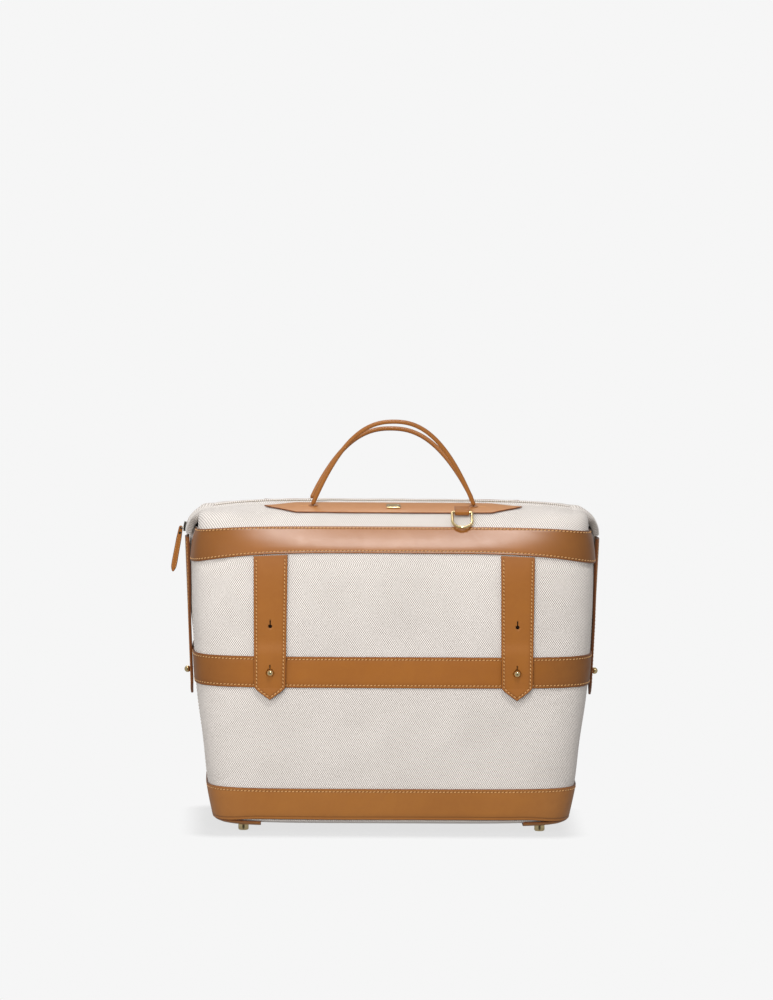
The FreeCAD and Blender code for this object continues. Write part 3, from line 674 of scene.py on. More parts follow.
class Nodes:
    """Short hand for a node tree; sockets take numbers, colours or another node's output."""

    def __init__(self, owner, out):
        owner.use_nodes = True
        self.owner = owner
        self.tree = owner.node_tree
        self.tree.nodes.clear()
        self.out = self.add(out)
        self.place = self.add("TexCoord").outputs

    def set(self, node, inputs):
        for key, value in inputs.items():
            if isinstance(value, (int, float, tuple)):
                node.inputs[key].default_value = value
            else:
                self.tree.links.new(value, node.inputs[key])
        return node

    def add(self, kind, inputs=None, **settings):
        node = self.tree.nodes.new("ShaderNode" + kind)
        for key, value in settings.items():
            setattr(node, key, value)
        return self.set(node, inputs or {})

    def math(self, operation, a, b=0.0, c=0.0):
        return self.add("Math", {0: a, 1: b, 2: c}, operation=operation).outputs[0]

    def times(self, a, b):
        return self.math("MULTIPLY", a, b)

    def wave(self, value, period):
        return self.math("SINE", self.times(value, 2 * math.pi / period))

    def size(self, value):
        return self.math("ABSOLUTE", value)

    def mix(self, factor, a, b, kind="MIX"):
        return self.add("Mix", {0: factor, 6: a, 7: b}, data_type="RGBA", blend_type=kind).outputs[2]

    def vector(self, operation, inputs):
        return self.add("VectorMath", inputs, operation=operation).outputs

    def noise(self, vector, scale, detail=2.0, roughness=0.5, distortion=0.0, out="Fac"):
        inputs = {"Vector": vector, "Scale": scale, "Detail": detail, "Roughness": roughness, "Distortion": distortion}
        return self.add("TexNoise", inputs).outputs[out]

    def span(self, value, low, high, to_low=0.0, to_high=1.0, **settings):
        return self.add("MapRange", {0: value, 1: low, 2: high, 3: to_low, 4: to_high}, **settings).outputs[0]

    def axes(self, vector):
        return self.add("SeparateXYZ", {0: vector}).outputs

    def attribute(self, name):
        return self.add("Attribute", attribute_name=name).outputs["Fac"]

    def bump(self, height, strength, distance, **under):
        inputs = {"Strength": strength, "Distance": distance, "Height": height}
        return self.add("Bump", {**inputs, **under}).outputs["Normal"]


def surface_nodes(name):
    m = Nodes(bpy.data.materials.new(name), "OutputMaterial")
    m.shader = m.add("BsdfPrincipled")
    m.set(m.out, {"Surface": m.shader.outputs["BSDF"]})
    return m


def canvas_material(name, light, dark, flank=None):
    """Dotted plain weave; flank is the colour multiplier for painted shade deep in a fold, away from the middle line.
    """
    m = surface_nodes(name)
    uv = m.place["UV"]
    shift = m.vector("SCALE", {0: m.noise(uv, 90.0, out="Color"), "Scale": 0.0005})["Vector"]
    moved = m.axes(m.vector("ADD", {0: uv, 1: shift})["Vector"])
    knots = m.times(m.wave(moved[0], KNOT_LONG), m.wave(moved[1], KNOT_WIDE))
    threads = m.times(m.wave(moved[0], KNOT_LONG / 3.0), m.wave(moved[1], KNOT_LONG / 3.0))
    slub = m.noise(uv, 420.0, 3.0, 0.6)
    cloud = m.noise(uv, 14.0, 3.0, 0.55)
    dots = m.times(m.span(knots, -0.55, 0.55), m.span(slub, 0.3, 0.7, 0.75, 1.0))
    base = m.mix(dots, light, dark)
    base = m.mix(m.span(threads, -1.0, 1.0, 0.0, 0.10), base, dark)
    base = m.mix(m.span(cloud, 0.35, 0.65, 0.0, 0.10), base, dark)
    # painted shade: darker along a seam groove
    base = m.mix(m.times(m.attribute("seam"), 0.35), base, dark)
    # painted shade: the canvas darkens deep in a fold, away from the middle line and low down, where the fold's
    # overhang shades it
    if flank is not None:
        where = m.axes(m.place["Object"])
        deep = m.times(m.span(m.size(where[1]), 0.013, 0.027), m.span(where[2], 0.366, 0.354))
        base = m.mix(deep, base, flank, "MULTIPLY")
    height = m.math("ADD", m.times(knots, 0.6), m.times(threads, 0.35))
    height = m.math("ADD", height, m.times(slub, 0.5))
    m.set(m.shader, {"Base Color": base, "Normal": m.bump(height, 0.55, 0.0003),
                     "Roughness": m.span(slub, 0.3, 0.7, 0.78, 0.92), "Specular IOR Level": 0.25,
                     "Sheen Weight": 0.12, "Sheen Roughness": 0.5})
    return m.owner


def leather_material(name, colour, deep, rough=0.46, grain=1.0, coat=0.12, corners=None):
    """Smooth vegetable-tanned leather: fine pores, slow tone changes, darker at cut edges, and darker along seams as
    painted shade of the stitch groove and needle holes.

    corners is the colour multiplier for painted shade where a band turns round the bag's four corners, away from the
    light.
    """
    m = surface_nodes(name)
    uv = m.place["UV"]
    cloud = m.noise(uv, 9.0, 4.0, 0.6)
    mottle = m.noise(uv, 75.0, 4.0, 0.62, 0.4)
    pores = m.add("TexVoronoi", {"Vector": uv, "Scale": 1100.0}, feature="DISTANCE_TO_EDGE")
    fine = m.noise(uv, 2300.0, 2.0, 0.6)
    base = m.mix(m.span(cloud, 0.35, 0.66, 0.0, 0.42), colour, deep)
    base = m.mix(m.span(mottle, 0.42, 0.72, 0.0, 0.22), base, deep)
    base = m.mix(m.times(m.attribute("rim"), m.span(mottle, 0.3, 0.7, 0.3, 0.75)), base, deep)
    # painted shade: darker along the stitch groove, standing in for the shade of the groove and its needle holes
    base = m.mix(m.times(m.attribute("seam"), 0.75), base, darker(deep, 0.5))
    if corners is not None:
        # painted shade: the band darkens where it turns round the bag's corners, away from the light
        where = m.axes(m.place["Object"])
        corner_shade_mask = m.times(m.span(m.size(where[0]), 0.150, 0.226), m.span(m.size(where[1]), 0.030, 0.062))
        base = m.mix(corner_shade_mask, base, corners, "MULTIPLY")
    height = m.math("ADD", m.times(m.span(pores.outputs["Distance"], 0.0, 0.35), 0.5), m.times(fine, 0.6))
    low = m.bump(mottle, 0.18 * grain, 0.0006)
    m.set(m.shader, {"Base Color": base, "Normal": m.bump(height, 0.16 * grain, 0.00016, Normal=low),
                     "Roughness": m.span(mottle, 0.3, 0.7, rough - 0.06 * grain, rough + 0.08 * grain),
                     "Specular IOR Level": 0.42, "Coat Weight": coat, "Coat Roughness": rough - 0.10})
    return m.owner


def edge_material(name, colour):
    m = surface_nodes(name)
    streak = m.noise(m.place["Object"], 500.0, 3.0, 0.6)
    base = m.mix(m.span(streak, 0.3, 0.7, 0.0, 0.5), colour, darker(colour, 0.55))
    m.set(m.shader, {"Base Color": base, "Normal": m.bump(streak, 0.3, 0.0002), "Roughness": 0.38})
    return m.owner


def metal_material(name, colour, rough=0.16):
    m = surface_nodes(name)
    stain = m.noise(m.place["Object"], 160.0, 4.0, 0.6)
    scratch = m.noise(m.place["Object"], 1500.0, 3.0, 0.7)
    base = m.mix(m.span(stain, 0.35, 0.7, 0.0, 0.35), colour, darker(colour, 0.72))
    m.set(m.shader, {"Base Color": base, "Roughness": m.span(scratch, 0.3, 0.75, rough - 0.05, rough + 0.12),
                     "Normal": m.bump(scratch, 0.05, 0.0001), "Metallic": 1.0})
    return m.owner


def fibre_material(name, colour, deep, scale=900.0, rough=0.85):
    """Thread, tape and board: short fibres and tone changes."""
    m = surface_nodes(name)
    fibres = m.noise(m.place["Object"], scale, 3.0, 0.65)
    m.set(m.shader, {"Base Color": m.mix(m.span(fibres, 0.3, 0.7), colour, deep),
                     "Normal": m.bump(fibres, 0.35, 0.0002), "Roughness": rough, "Sheen Weight": 0.1})
    return m.owner


def tape_material(name, colour, deep):
    """Zip tape: ribs that run along it."""
    m = surface_nodes(name)
    where = m.axes(m.place["Object"])
    weave = m.times(m.wave(where[1], 0.0011), m.wave(where[0], 0.0009))
    m.set(m.shader, {"Base Color": m.mix(m.span(weave, -1.0, 1.0, 0.0, 0.6), colour, deep),
                     "Normal": m.bump(weave, 0.5, 0.0002), "Roughness": 0.8})
    return m.owner


# painted shade on the belts and upper bands where they turn round the corners
CORNER_PAINTED_SHADE = (0.62, 0.62, 0.58, 1.0)
# painted shade for the canvas deep in the folds of the ears and end folds
FOLD_PAINTED_SHADE = (0.50, 0.48, 0.46, 1.0)
CREAMS = linear(247, 240, 234), linear(130, 121, 112)
cream = canvas_material("canvas_cream", *CREAMS)
cream_fold_shaded = canvas_material("canvas_fold_painted_shade", *CREAMS, flank=FOLD_PAINTED_SHADE)
tan = leather_material("leather_tan", linear(151, 94, 37), linear(134, 78, 27))
tan_belt = leather_material("leather_belt", linear(153, 95, 37), linear(135, 78, 27), corners=CORNER_PAINTED_SHADE)
tan_base = leather_material("leather_base", linear(156, 101, 46), linear(138, 84, 36))
tan_top = leather_material("leather_top", linear(149, 92, 36), linear(134, 79, 29), rough=0.35, grain=0.4, coat=0.24,
                           corners=CORNER_PAINTED_SHADE)
# lighter copy of the tan leather for the upward-facing tabs: painted highlight of the sheen they catch from above
tan_tab_lit = leather_material("leather_tab", linear(178, 121, 68), linear(160, 103, 54), rough=0.42)
tan_roll = leather_material("leather_rolled", linear(150, 94, 40), linear(131, 77, 29), rough=0.40)
suede = fibre_material("leather_back", linear(150, 104, 62), linear(112, 72, 38))
edge_dark = edge_material("leather_edge", linear(112, 62, 26))
edge_mid = edge_material("leather_edge_mid", linear(120, 70, 34))
thread = fibre_material("thread_gold", linear(222, 172, 112), linear(190, 138, 82), 2600.0, 0.6)
thread_cream = fibre_material("thread_cream", linear(216, 206, 190), linear(188, 176, 158), 2600.0, 0.7)
brass = metal_material("brass", linear(250, 226, 172))
steel = metal_material("nickel", linear(196, 190, 178), 0.22)
# dark colour for the painted shade behind the spare strap holes
hole_shade = fibre_material("gap_painted_shade", linear(40, 24, 14), linear(24, 14, 8))
zip_tape = tape_material("zip_tape", linear(206, 192, 170), linear(160, 146, 124))
board_fibre = fibre_material("board_fibre", linear(96, 84, 70), linear(70, 60, 50), 300.0)

TAN, TAN_BELT, TAN_BASE, TAN_TOP, TAN_TAB_LIT = ([face, edge_dark, suede]
                                             for face in (tan, tan_belt, tan_base, tan_top, tan_tab_lit))
CREAM, FOLD_SHADED = [cream] * 3, [cream_fold_shaded] * 3


def finish_piece(obj, body, nodes=()):
    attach(obj, body)
    if nodes:
        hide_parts(*nodes)
    return obj


# ---------------------------------------------------------------- canvas body

def turn_stations(start, stop, step, radius):
    """Directions round the body at even distances."""
    fine = np.linspace(start, stop, 2400)
    p = hard_wall(fine, np.full(fine.shape, 190.0))
    cum = np.concatenate([[0], np.cumsum(np.linalg.norm(np.diff(p, axis=0), axis=1))])
    return np.interp(rows(cum[-1], radius, step), cum, fine)


FRONT_TURNS = (SEAM_TURN + SEAM_GAP, 180.0 - SEAM_TURN - SEAM_GAP)
SIDE_TURNS = (-SEAM_TURN, SEAM_TURN)


def wall_piece(name, turns, low, high, inner, outer, materials, body_surface=wall, step=4.0, grooves=(),
               row_step=5.0, transform=None, radius=EDGE_R, groove_depth=0.25):
    def surface(turn, share):
        return body_surface(turn, low(turn) + (high(turn) - low(turn)) * share)
    middle = (turns[0] + turns[1]) / 2
    length = float(high(middle) - low(middle))
    marks = list(grooves) + [length - g for g in grooves]
    shares = rows(length, radius, row_step, marks) / length
    return shell(name, surface, turn_stations(turns[0], turns[1], step, radius), shares, from_axis, inner, outer,
                 materials, radius=radius, steps=(0.05, 0.002), grooves=grooves, transform=transform,
                 groove_depth=groove_depth)


def level(z):
    """An edge at one height all the way round."""
    return lambda turn: np.full(np.shape(turn), float(z))


WALLS = [(end, mirror, FRONT_TURNS) for end, mirror in ENDS] + [(side, mirror, SIDE_TURNS) for side, mirror in SIDES]


def body_canvas():
    for end, mirror, turns in WALLS:
        name = "canvas_%s_%s" % (end, "panel" if turns is FRONT_TURNS else "gusset")
        piece = wall_piece(name + "_cloth", turns, level(WALL_FOOT_Z), rim_height, -CANVAS, 0.0, CREAM, canvas_wall,
                           step=3.5, row_step=3.5, transform=mirror, radius=THIN_EDGE_R)
        finish_piece(piece, "case", [name])


def wall_run(surface, turn_at, z_at, mirror, **spacing):
    """Stitches along a line on the body, given as direction and height for t from 0 to 1."""
    run = run_along(lambda t: surface(turn_at(t), z_at(t)), lambda t: wall_normal(turn_at(t), z_at(t)), **spacing)
    return mirrored_run(run, mirror)


def band(node, turns, low, high, materials, gap, grooves, rows_at, mirror, thread_to, surface=wall):
    """Leather band on the body with its stitch rows, each given as a distance in from the low or high edge."""
    piece = wall_piece(node + "_leather", turns, low, high, gap, gap + LEATHER, materials, surface, grooves=grooves,
                       row_step=4.5, transform=mirror)
    finish_piece(piece, "case", [node])

    def across(t):
        return turns[0] + (turns[1] - turns[0]) * t
    for side, inset in rows_at:
        def height(t):
            return low(across(t)) + inset if side == "low" else high(across(t)) - inset
        thread_to.append(wall_run(surface, across, height, mirror, lift=gap + LEATHER - 0.05))


def base_low(turn):
    """Lower edge of the base band: a little lower at the bag's corners."""
    return BASE_LOW_Z + 0.6 - 3.4 * smooth(np.abs(wall_share(turn)[0]), 0.72, 0.97)


def bands():
    for end, mirror, turns in WALLS:
        sewn = []
        band("belt_" + end, turns, level(BELT_LOW_Z), level(BELT_TOP_Z), TAN_BELT, LAY_GAP, (3.2,),
             (("low", 3.2), ("high", 3.2)), mirror, sewn)
        band("base_band_" + end, turns, base_low, level(BASE_TOP_Z), TAN_BASE, LAY_GAP, (3.4,), (("high", 3.4),),
             mirror, sewn)
        if turns is FRONT_TURNS:
            band("upper_band_" + end, turns, upper_band_low, lambda turn: rim_height(turn) - 0.2, TAN_TOP,
                 LAY_GAP + 0.1, (2.4,), (("low", 2.6), ("high", 2.0)), mirror, sewn, firm_wall)
        finish_piece(thread_mesh("band_stitches_" + end, sewn, [thread]), "case")


def gusset_seams():
    spans = (BASE_TOP_Z + 1.5, BELT_LOW_Z - 1.5), (BELT_TOP_Z + 1.5, 338.0)
    for side, mirror in SIDES:
        runs = [wall_run(canvas_wall, lambda t: np.full(np.shape(t), turn), lambda t: low + (high - low) * t, mirror,
                         lift=0.1, start=1.0, stop=1.0)
                for turn in (-SEAM_TURN + 0.9, SEAM_TURN - 0.9) for low, high in spans]
        finish_piece(thread_mesh("gusset_stitches_" + side, runs, [thread_cream], 2.8, 0.32, 0.0), "case")


# ---------------------------------------------------------------- bottom

def bottom_z(x, y, power=BOTTOM_POWER):
    """Underside, flat in the middle and rising to the body's edge."""
    half_x = along(HEIGHTS, HALF_WIDTHS, WALL_FOOT_Z)
    half_y = along(HEIGHTS, HALF_DEPTHS, WALL_FOOT_Z)
    reach = (np.abs(x / half_x) ** SQUARENESS + np.abs(y / half_y) ** SQUARENESS) ** (1.0 / SQUARENESS)
    return BOTTOM_Z + BOTTOM_RISE * np.minimum(reach, 1.06) ** power


def foot_outline(turn):
    p = hard_wall(turn, np.full(np.shape(turn), WALL_FOOT_Z))
    return p[..., 0], -p[..., 1]


def down(p):
    return -upward(p)


def bottom_cloth():
    """Canvas panel across the bottom, built from rings round its middle."""
    def floor_surface(turn, share):
        x, y = foot_outline(turn)
        x, y = x * share, y * share
        return points(x, y, bottom_z(x, y))
    count = 160
    turns = np.linspace(0, 360, count + 1)[:-1]
    shares = np.array([0.02, 0.1, 0.25, 0.4, 0.55, 0.68, 0.78, 0.86, 0.91, 0.945, 0.965, 0.978, 0.984, 0.988])
    A, B = np.meshgrid(turns, shares, indexing="ij")
    outer = floor_surface(A, B)
    inner = outer - normal_of(floor_surface, A, B, 0.3, 0.003, down) * CANVAS
    vertices = np.concatenate([outer.reshape(-1, 3), inner.reshape(-1, 3)])
    index = np.arange(A.size).reshape(A.shape)
    index = np.concatenate([index, index[:1]], axis=0)
    faces = grid_faces(index, True).tolist() + grid_faces(index + A.size, False).tolist()
    faces += [index[:-1, 0].tolist(), (index[:-1, 0] + A.size)[::-1].tolist()]
    for a, b in zip(index[:-1, -1], index[1:, -1]):
        faces.append([a, b, b + A.size, a + A.size])
    uv = np.concatenate([outer.reshape(-1, 3)[:, :2]] * 2)
    piece = mesh_object("canvas_bottom_cloth", vertices, faces, [cream], uv)
    fix_normals(piece)
    finish_piece(piece, "case", ["canvas_bottom_panel"])


def corner_patches():
    """Leather corners, each fanned out from its inner corner to just inside the body's edge."""
    half_x, half_y = (float(along(HEIGHTS, half, WALL_FOOT_Z)) * PATCH_REACH for half in (HALF_WIDTHS, HALF_DEPTHS))
    angles = np.radians(rows(90.0, 1.2, 3.0))
    far = []
    for a in angles:
        low, high = 0.0, 120.0
        for _ in range(40):
            mid = (low + high) / 2
            x, y = PATCH_X + mid * math.cos(a), PATCH_Y + mid * math.sin(a)
            inside = (x / half_x) ** SQUARENESS + (y / half_y) ** SQUARENESS < 1
            low, high = (mid, high) if inside else (low, mid)
        far.append(low)
    steps = np.arange(len(far))

    def fan(i, share):
        r = np.interp(i, steps, far) * (0.001 + 0.999 * share)
        a = np.interp(i, steps, angles)
        x = PATCH_X + r * np.cos(a)
        y = PATCH_Y + r * np.sin(a)
        return points(x, -y, bottom_z(x, y, PATCH_POWER))
    for label, mirror in CORNERS:
        piece = shell("corner_patch_" + label, fan, steps, rows(60.0, 1.2, 4.0) / 60.0, down, LAY_GAP,
                      LAY_GAP + LEATHER, TAN_BASE, steps=(0.2, 0.01), transform=mirror)
        finish_piece(piece, "case", ["corner_patches"])


def feet():
    profile = [(0.0, 0.0), (3.9, 0.0), (4.8, 0.15), (5.6, 0.7), (5.95, 1.6), (6.0, 5.4), (5.8, 6.2), (5.9, 6.7),
               (5.9, 7.5), (2.0, 7.6), (2.0, 12.0), (0.0, 12.0)]
    places = [(x, y, 0.0) for x in (-FOOT_X, FOOT_X) for y in (-FOOT_Y, FOOT_Y)]
    finish_piece(lathe("feet_turned", profile, places, [(0, 0, 1)] * 4, [brass], 48), "case", ["feet"])


# ---------------------------------------------------------------- domed top

def crown_at(x, share):
    """The dome's cross-section, fuller towards the two ends."""
    full = smooth(np.abs(x), 150.0, 200.0)
    boxy = 1.0 - 0.10 * share ** 2 - 0.90 * share ** 9
    return crown(share) * (1 - full) + boxy * full


def top_cloth(x, run):
    """Front half of the dome with its two turned-down corners; run goes from the zip to the rim."""
    far = np.abs(x)
    rim = rim_point(rim_share(x))
    rim_y = np.abs(rim[..., 1])
    y = ZIP_HALF_GAP + (rim_y - ZIP_HALF_GAP) * run
    y_end = ZIP_HALF_GAP + (END_RIM_Y - ZIP_HALF_GAP) * run
    squeezed = NOTCH_Y + (rim_y - NOTCH_Y) * (y_end - NOTCH_Y) / (END_RIM_Y - NOTCH_Y)
    y = np.where(far > TOP_HALF_LENGTH, np.where(y_end > NOTCH_Y, squeezed, y_end), y)
    share = np.minimum(y / rim_y, 1.0)
    turned = np.clip((far - TOP_HALF_LENGTH) / 20.0, 0, 1)
    high = ridge(np.minimum(far, TOP_HALF_LENGTH))
    z = rim[..., 2] + (high - rim[..., 2]) * (1 - turned ** 4) ** 0.25 * crown_at(x, share)
    wave = np.sin(0.052 * x + 0.09 * y + 0.6) * np.sin(0.031 * x - 0.06 * y + 1.9)
    z = z - 0.28 * (1 - wave) + 2.2 * np.exp(-((y - 12.2) / 3.2) ** 2) * (far < TOP_HALF_LENGTH + 1)
    return points(x, -y, z)


def tops():
    """Both halves of the dome, notched at the ears."""
    past = TOP_HALF_LENGTH + NOTCH_OUT + (TOP_REACH - TOP_HALF_LENGTH - NOTCH_OUT) * QUARTER_TURN
    inner = rows(2 * TOP_HALF_LENGTH, THIN_EDGE_R, 3.5) - TOP_HALF_LENGTH
    x_list = np.concatenate([-past[::-1], inner[1:-1], past])
    deep = END_RIM_Y - ZIP_HALF_GAP
    notch = (NOTCH_Y - ZIP_HALF_GAP) / deep
    run_list = rows(deep, THIN_EDGE_R, 2.6) / deep
    run_list[np.argmin(np.abs(run_list - notch))] = notch

    def keep(centre):
        return (np.abs(centre[..., 0]) < TOP_HALF_LENGTH + NOTCH_OUT) | (np.abs(centre[..., 1]) > NOTCH_Y)
    rim_y = float(rim_point(np.array(0.5))[1])
    for (end, mirror), sign in zip(ENDS, (1, -1)):
        piece = shell("canvas_%s_top_cloth" % end, top_cloth, x_list, run_list, outward_up, -CANVAS, 0.0, CREAM,
                      radius=THIN_EDGE_R, steps=(0.1, 0.002), transform=mirror, keep=keep)
        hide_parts("canvas_%s_top" % end)
        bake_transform(piece)


def placed(p):
    return np.asarray(p, float) * MM + ORIGIN


def tab_edges(x):
    """Back and front edge of a tab that comes to a point at both ends."""
    run = np.clip((TAB_HALF_LENGTH - np.abs(x)) / (TAB_HALF_LENGTH - TAB_SHOULDER), 0, 1)
    ease = np.interp(run, [0, 0.06, 0.94, 1.0], [0.0, 0.085, 0.972, 1.0])
    back = TAB_TIP_Y + (TAB_BACK_Y - TAB_TIP_Y) * ease
    front = TAB_TIP_Y + (TAB_FRONT_Y - TAB_TIP_Y) * ease
    return back, front


def tabs():
    def surface(x, share):
        back, front = tab_edges(x)
        return top_under(x, back + (front - back) * share)

    def edge(x, share):
        back, front = tab_edges(x)
        lean = np.where(np.abs(x) > TAB_SHOULDER, 0.86, 1.0)
        return np.minimum(share, 1 - share) * (front - back) * lean

    def thick(x, share):
        lift = 0.9 * np.clip((np.abs(x) - 128.0) / 20.0, 0, 1) ** 2
        return LAY_GAP + lift, LAY_GAP + LEATHER + lift
    x_list = rows(2 * TAB_HALF_LENGTH, 2.0, 4.0, marks=(36.0, 260.0)) - TAB_HALF_LENGTH
    for end, mirror in ENDS:
        piece = shell("%s_tab_leather" % end, surface, x_list, rows(42.0, EDGE_R, 3.5) / 42.0, upward, 0, 0,
                      TAN_TAB_LIT, steps=(0.2, 0.004), edge_distance=edge, thick=thick, transform=mirror)
        finish_piece(piece, "%s_top" % end, ["%s_tab" % end])


def plaque():
    """Plain plate with a softly rounded face and two pins."""
    middle = top_under(np.array(0.0), np.array(-PLAQUE_Y))
    rim = abs(float(rim_point(np.array(0.0))[1]))
    n = normal_of(top_at, np.array(0.0), np.array(PLAQUE_Y / rim), 0.2, 0.002, upward)
    across = np.array([1.0, 0.0, 0.0])
    back = np.cross(n, across)
    half = np.array([8.0, 7.0])
    corner, sides = 1.6, 48
    outline = []
    for k in range(sides):
        t = 2 * math.pi * (k + 0.5) / sides
        way = np.array([math.cos(t), math.sin(t)])
        outline.append((half - corner) * np.sign(way) + corner * way)
    lift = LAY_GAP + LEATHER + 0.1
    steps = (0.25, 0.0), (0.0, 0.25), (0.0, 0.95), (0.35, 1.25), (1.3, 1.35)
    vertices = [middle + across * px + back * py + n * (lift + height)
                for inset, height in steps for px, py in np.array(outline) * (1 - inset / half)]
    piece = mesh_object("front_plaque_plate", vertices, ring_faces(len(steps), sides), [brass],
                        [(v[0], v[1]) for v in vertices])
    fix_normals(piece)
    finish_piece(piece, "front_top", ["front_plaque"])
    pins = lathe("front_plaque_pins", [(0, 0), (1.25, 0), (1.2, 0.35), (0.8, 0.7), (0, 0.8)],
                 [middle + across * s * 5.4 + n * (lift + 1.3) for s in (-1, 1)], [n, n], [steel], 20)
    finish_piece(pins, "front_top")


# ---------------------------------------------------------------- handles and ring

def handle_path(lean):
    """Arch of a handle from foot to foot, leaning back by an angle in radians."""
    share = np.concatenate([np.linspace(1.0, 0.9, 14), np.linspace(0.88, 0.0, 30)])
    half = np.stack([-HANDLE_X * share, np.zeros_like(share), HANDLE_TALL * (1.0 - share ** HANDLE_POWER)], axis=1)
    path = np.concatenate([half, (half[:-1] * [-1, 1, 1])[::-1]])
    d = np.concatenate([[0], np.cumsum(np.linalg.norm(np.diff(path, axis=0), axis=1))])
    even = np.linspace(0, d[-1], 150)
    path = np.stack([np.interp(even, d, path[:, k]) for k in range(3)], axis=1)
    for _ in range(3):
        path[1:-1] = (path[:-2] + 2 * path[1:-1] + path[2:]) / 4
    y = path[:, 1] * math.cos(lean) + path[:, 2] * math.sin(lean)
    z = -path[:, 1] * math.sin(lean) + path[:, 2] * math.cos(lean)
    return np.stack([path[:, 0], y, z], axis=1)


def rolled_handle(end, foot_y, lean):
    """Rolled leather with a ridge where the strip overlaps, on the inner side of the roll."""
    foot = top_under(np.array(HANDLE_X), np.array(HANDLE_Y))
    pivot = np.array([0.0, foot_y, foot[2] + LAY_GAP + LEATHER + HANDLE_R + 0.6])
    path = handle_path(lean) + pivot
    run = np.linspace(0, 1, len(path))
    ends = np.exp(-(np.minimum(run, 1 - run) * 300 / 6.0) ** 2)
    tips = [path[a] + unit(path[a] - path[b]) * 2.2 for a, b in ((0, 1), (-1, -2))]
    full = np.concatenate([tips[:1], path, tips[1:]])
    radii = np.concatenate([[HANDLE_TIP_R], HANDLE_R * (1 - 0.05 * ends), [HANDLE_TIP_R]])
    piece = tube("%s_handle_leather" % end, full, radii, [tan_roll], 28)
    finish_piece(piece, "%s_handle" % end, ["%s_handle" % end])
    back = np.array([0.0, math.cos(lean), -math.sin(lean)])
    inward = unit(np.array([0, foot_y, pivot[2] + HANDLE_TALL * 0.35]) - path)
    line = (path + unit(inward * 0.8 + back * 0.6) * (HANDLE_R - 0.15))[4:-4]
    finish_piece(tube("%s_handle_seam" % end, line, 0.42, [edge_mid], 8), "%s_handle" % end)


def handle_roots(end, sign):
    """Collar where each end goes into the tab, and the stitches beside it."""
    places, normals, runs = [], [], []
    flip = [1, sign, 1]
    for s in (-1, 1):
        base = top_under(np.array(HANDLE_X * s), np.array(HANDLE_Y)) * flip
        n = normal_of(top_under, np.array(HANDLE_X), np.array(HANDLE_Y), 0.2, 0.2, upward) * [s, sign, 1]
        places.append(base + n * (LAY_GAP + LEATHER - 0.25))
        normals.append(n)
        for k in range(3):
            at = top_under(base[0] + s * (6.4 + 3.2 * k), abs(base[1])) * flip
            runs.append((np.array([at + n * (LAY_GAP + LEATHER + 0.02)]), np.array([[1.0, 0, 0]]), np.array([n])))
    collar = [(0.0, 0.0), (5.6, 0.0), (5.5, 0.5), (4.9, 0.95), (4.2, 0.9), (3.7, 0.5), (0.0, 0.4)]
    piece = lathe("%s_handle_collars" % end, collar, places, normals, [tan_top], 32)
    finish_piece(piece, "%s_top" % end)
    finish_piece(thread_mesh("%s_handle_stitches" % end, runs, [thread], 2.4, 0.36), "%s_top" % end)


def handles():
    rolled_handle("front", -HANDLE_Y, 0.0)
    handle_roots("front", 1)
    rolled_handle("rear", HANDLE_Y, math.radians(REAR_HANDLE_LEAN))
    handle_roots("rear", -1)


def ring_path():
    """Outline of the D-ring as x and drop below its bar: bar, corner, leg, bow, leg, corner."""
    low, half, c = RING_LONG - RING_HALF_WIDTH, RING_HALF_WIDTH, RING_CORNER
    bar = [(x, 0.0) for x in np.linspace(-half + c, half - c, 14)]
    near = [(half - c + c * math.cos(a), -c + c * math.sin(a)) for a in np.linspace(math.pi / 2, 0, 7)[1:]]
    leg = [(half, z) for z in np.linspace(-c, -low, 6)[1:]]
    bow = [(half * math.cos(a), -low + half * math.sin(a)) for a in np.linspace(0, -math.pi, 40)[1:]]
    back = [(-half, z) for z in np.linspace(-low, -c, 6)[1:]]
    last = [(-half + c + c * math.cos(a), -c + c * math.sin(a)) for a in np.linspace(math.pi, math.pi / 2, 7)[1:-1]]
    return np.array(bar + near + leg + bow + back + last)


def ring():
    turn = math.radians(90.0 - RING_HANG)
    sides = 20
    x, z = ring_path().T
    path = points(RING_X + x, -RING_PIVOT_Y + z * math.sin(turn), RING_PIVOT_Z + z * math.cos(turn))
    closed = np.concatenate([path[-1:], path, path[:1]])
    out = np.array([0.0, -math.cos(turn), math.sin(turn)])
    vertices = []
    for p, t in zip(path, unit(closed[2:] - closed[:-2])):
        u = unit(np.cross(t, out))
        for k in range(sides):
            a = 2 * math.pi * k / sides
            vertices.append(p + RING_WIRE_R * (math.cos(a) * out + math.sin(a) * u))
    piece = mesh_object("d_ring_wire", vertices, ring_faces(len(path), sides, closed=True), [brass])
    fix_normals(piece)
    finish_piece(piece, "d_ring", ["d_ring"])


def ring_loop():
    """Leather loop that lies on the tab and rolls round the ring's bar."""
    a = math.radians(LOOP_LEAN)
    flat, mid_r = LOOP_FLAT, LOOP_R

    def loop_surface(x, s):
        phi = math.pi / 2 + np.clip((s - flat) / mid_r, 0, math.radians(235.0))
        y = np.where(s < flat, flat - s, mid_r * np.cos(phi))
        z = np.where(s < flat, mid_r, mid_r * np.sin(phi))
        return points(RING_X + x, -RING_PIVOT_Y + y * math.cos(a) - z * math.sin(a),
                      RING_PIVOT_Z + y * math.sin(a) + z * math.cos(a))

    def off_bar(p):
        return (p - np.array([0.0, -RING_PIVOT_Y, RING_PIVOT_Z - 1.0])) * [0, 1, 1]
    piece = shell("d_ring_loop_leather", loop_surface, rows(2 * LOOP_HALF, 0.7, 2.0) - LOOP_HALF,
                  rows(flat + mid_r * math.radians(232.0), 0.7, 0.9), off_bar, -0.75, 0.75, TAN, radius=0.7,
                  steps=(0.05, 0.02))
    finish_piece(piece, "front_top", ["d_ring_loop"])


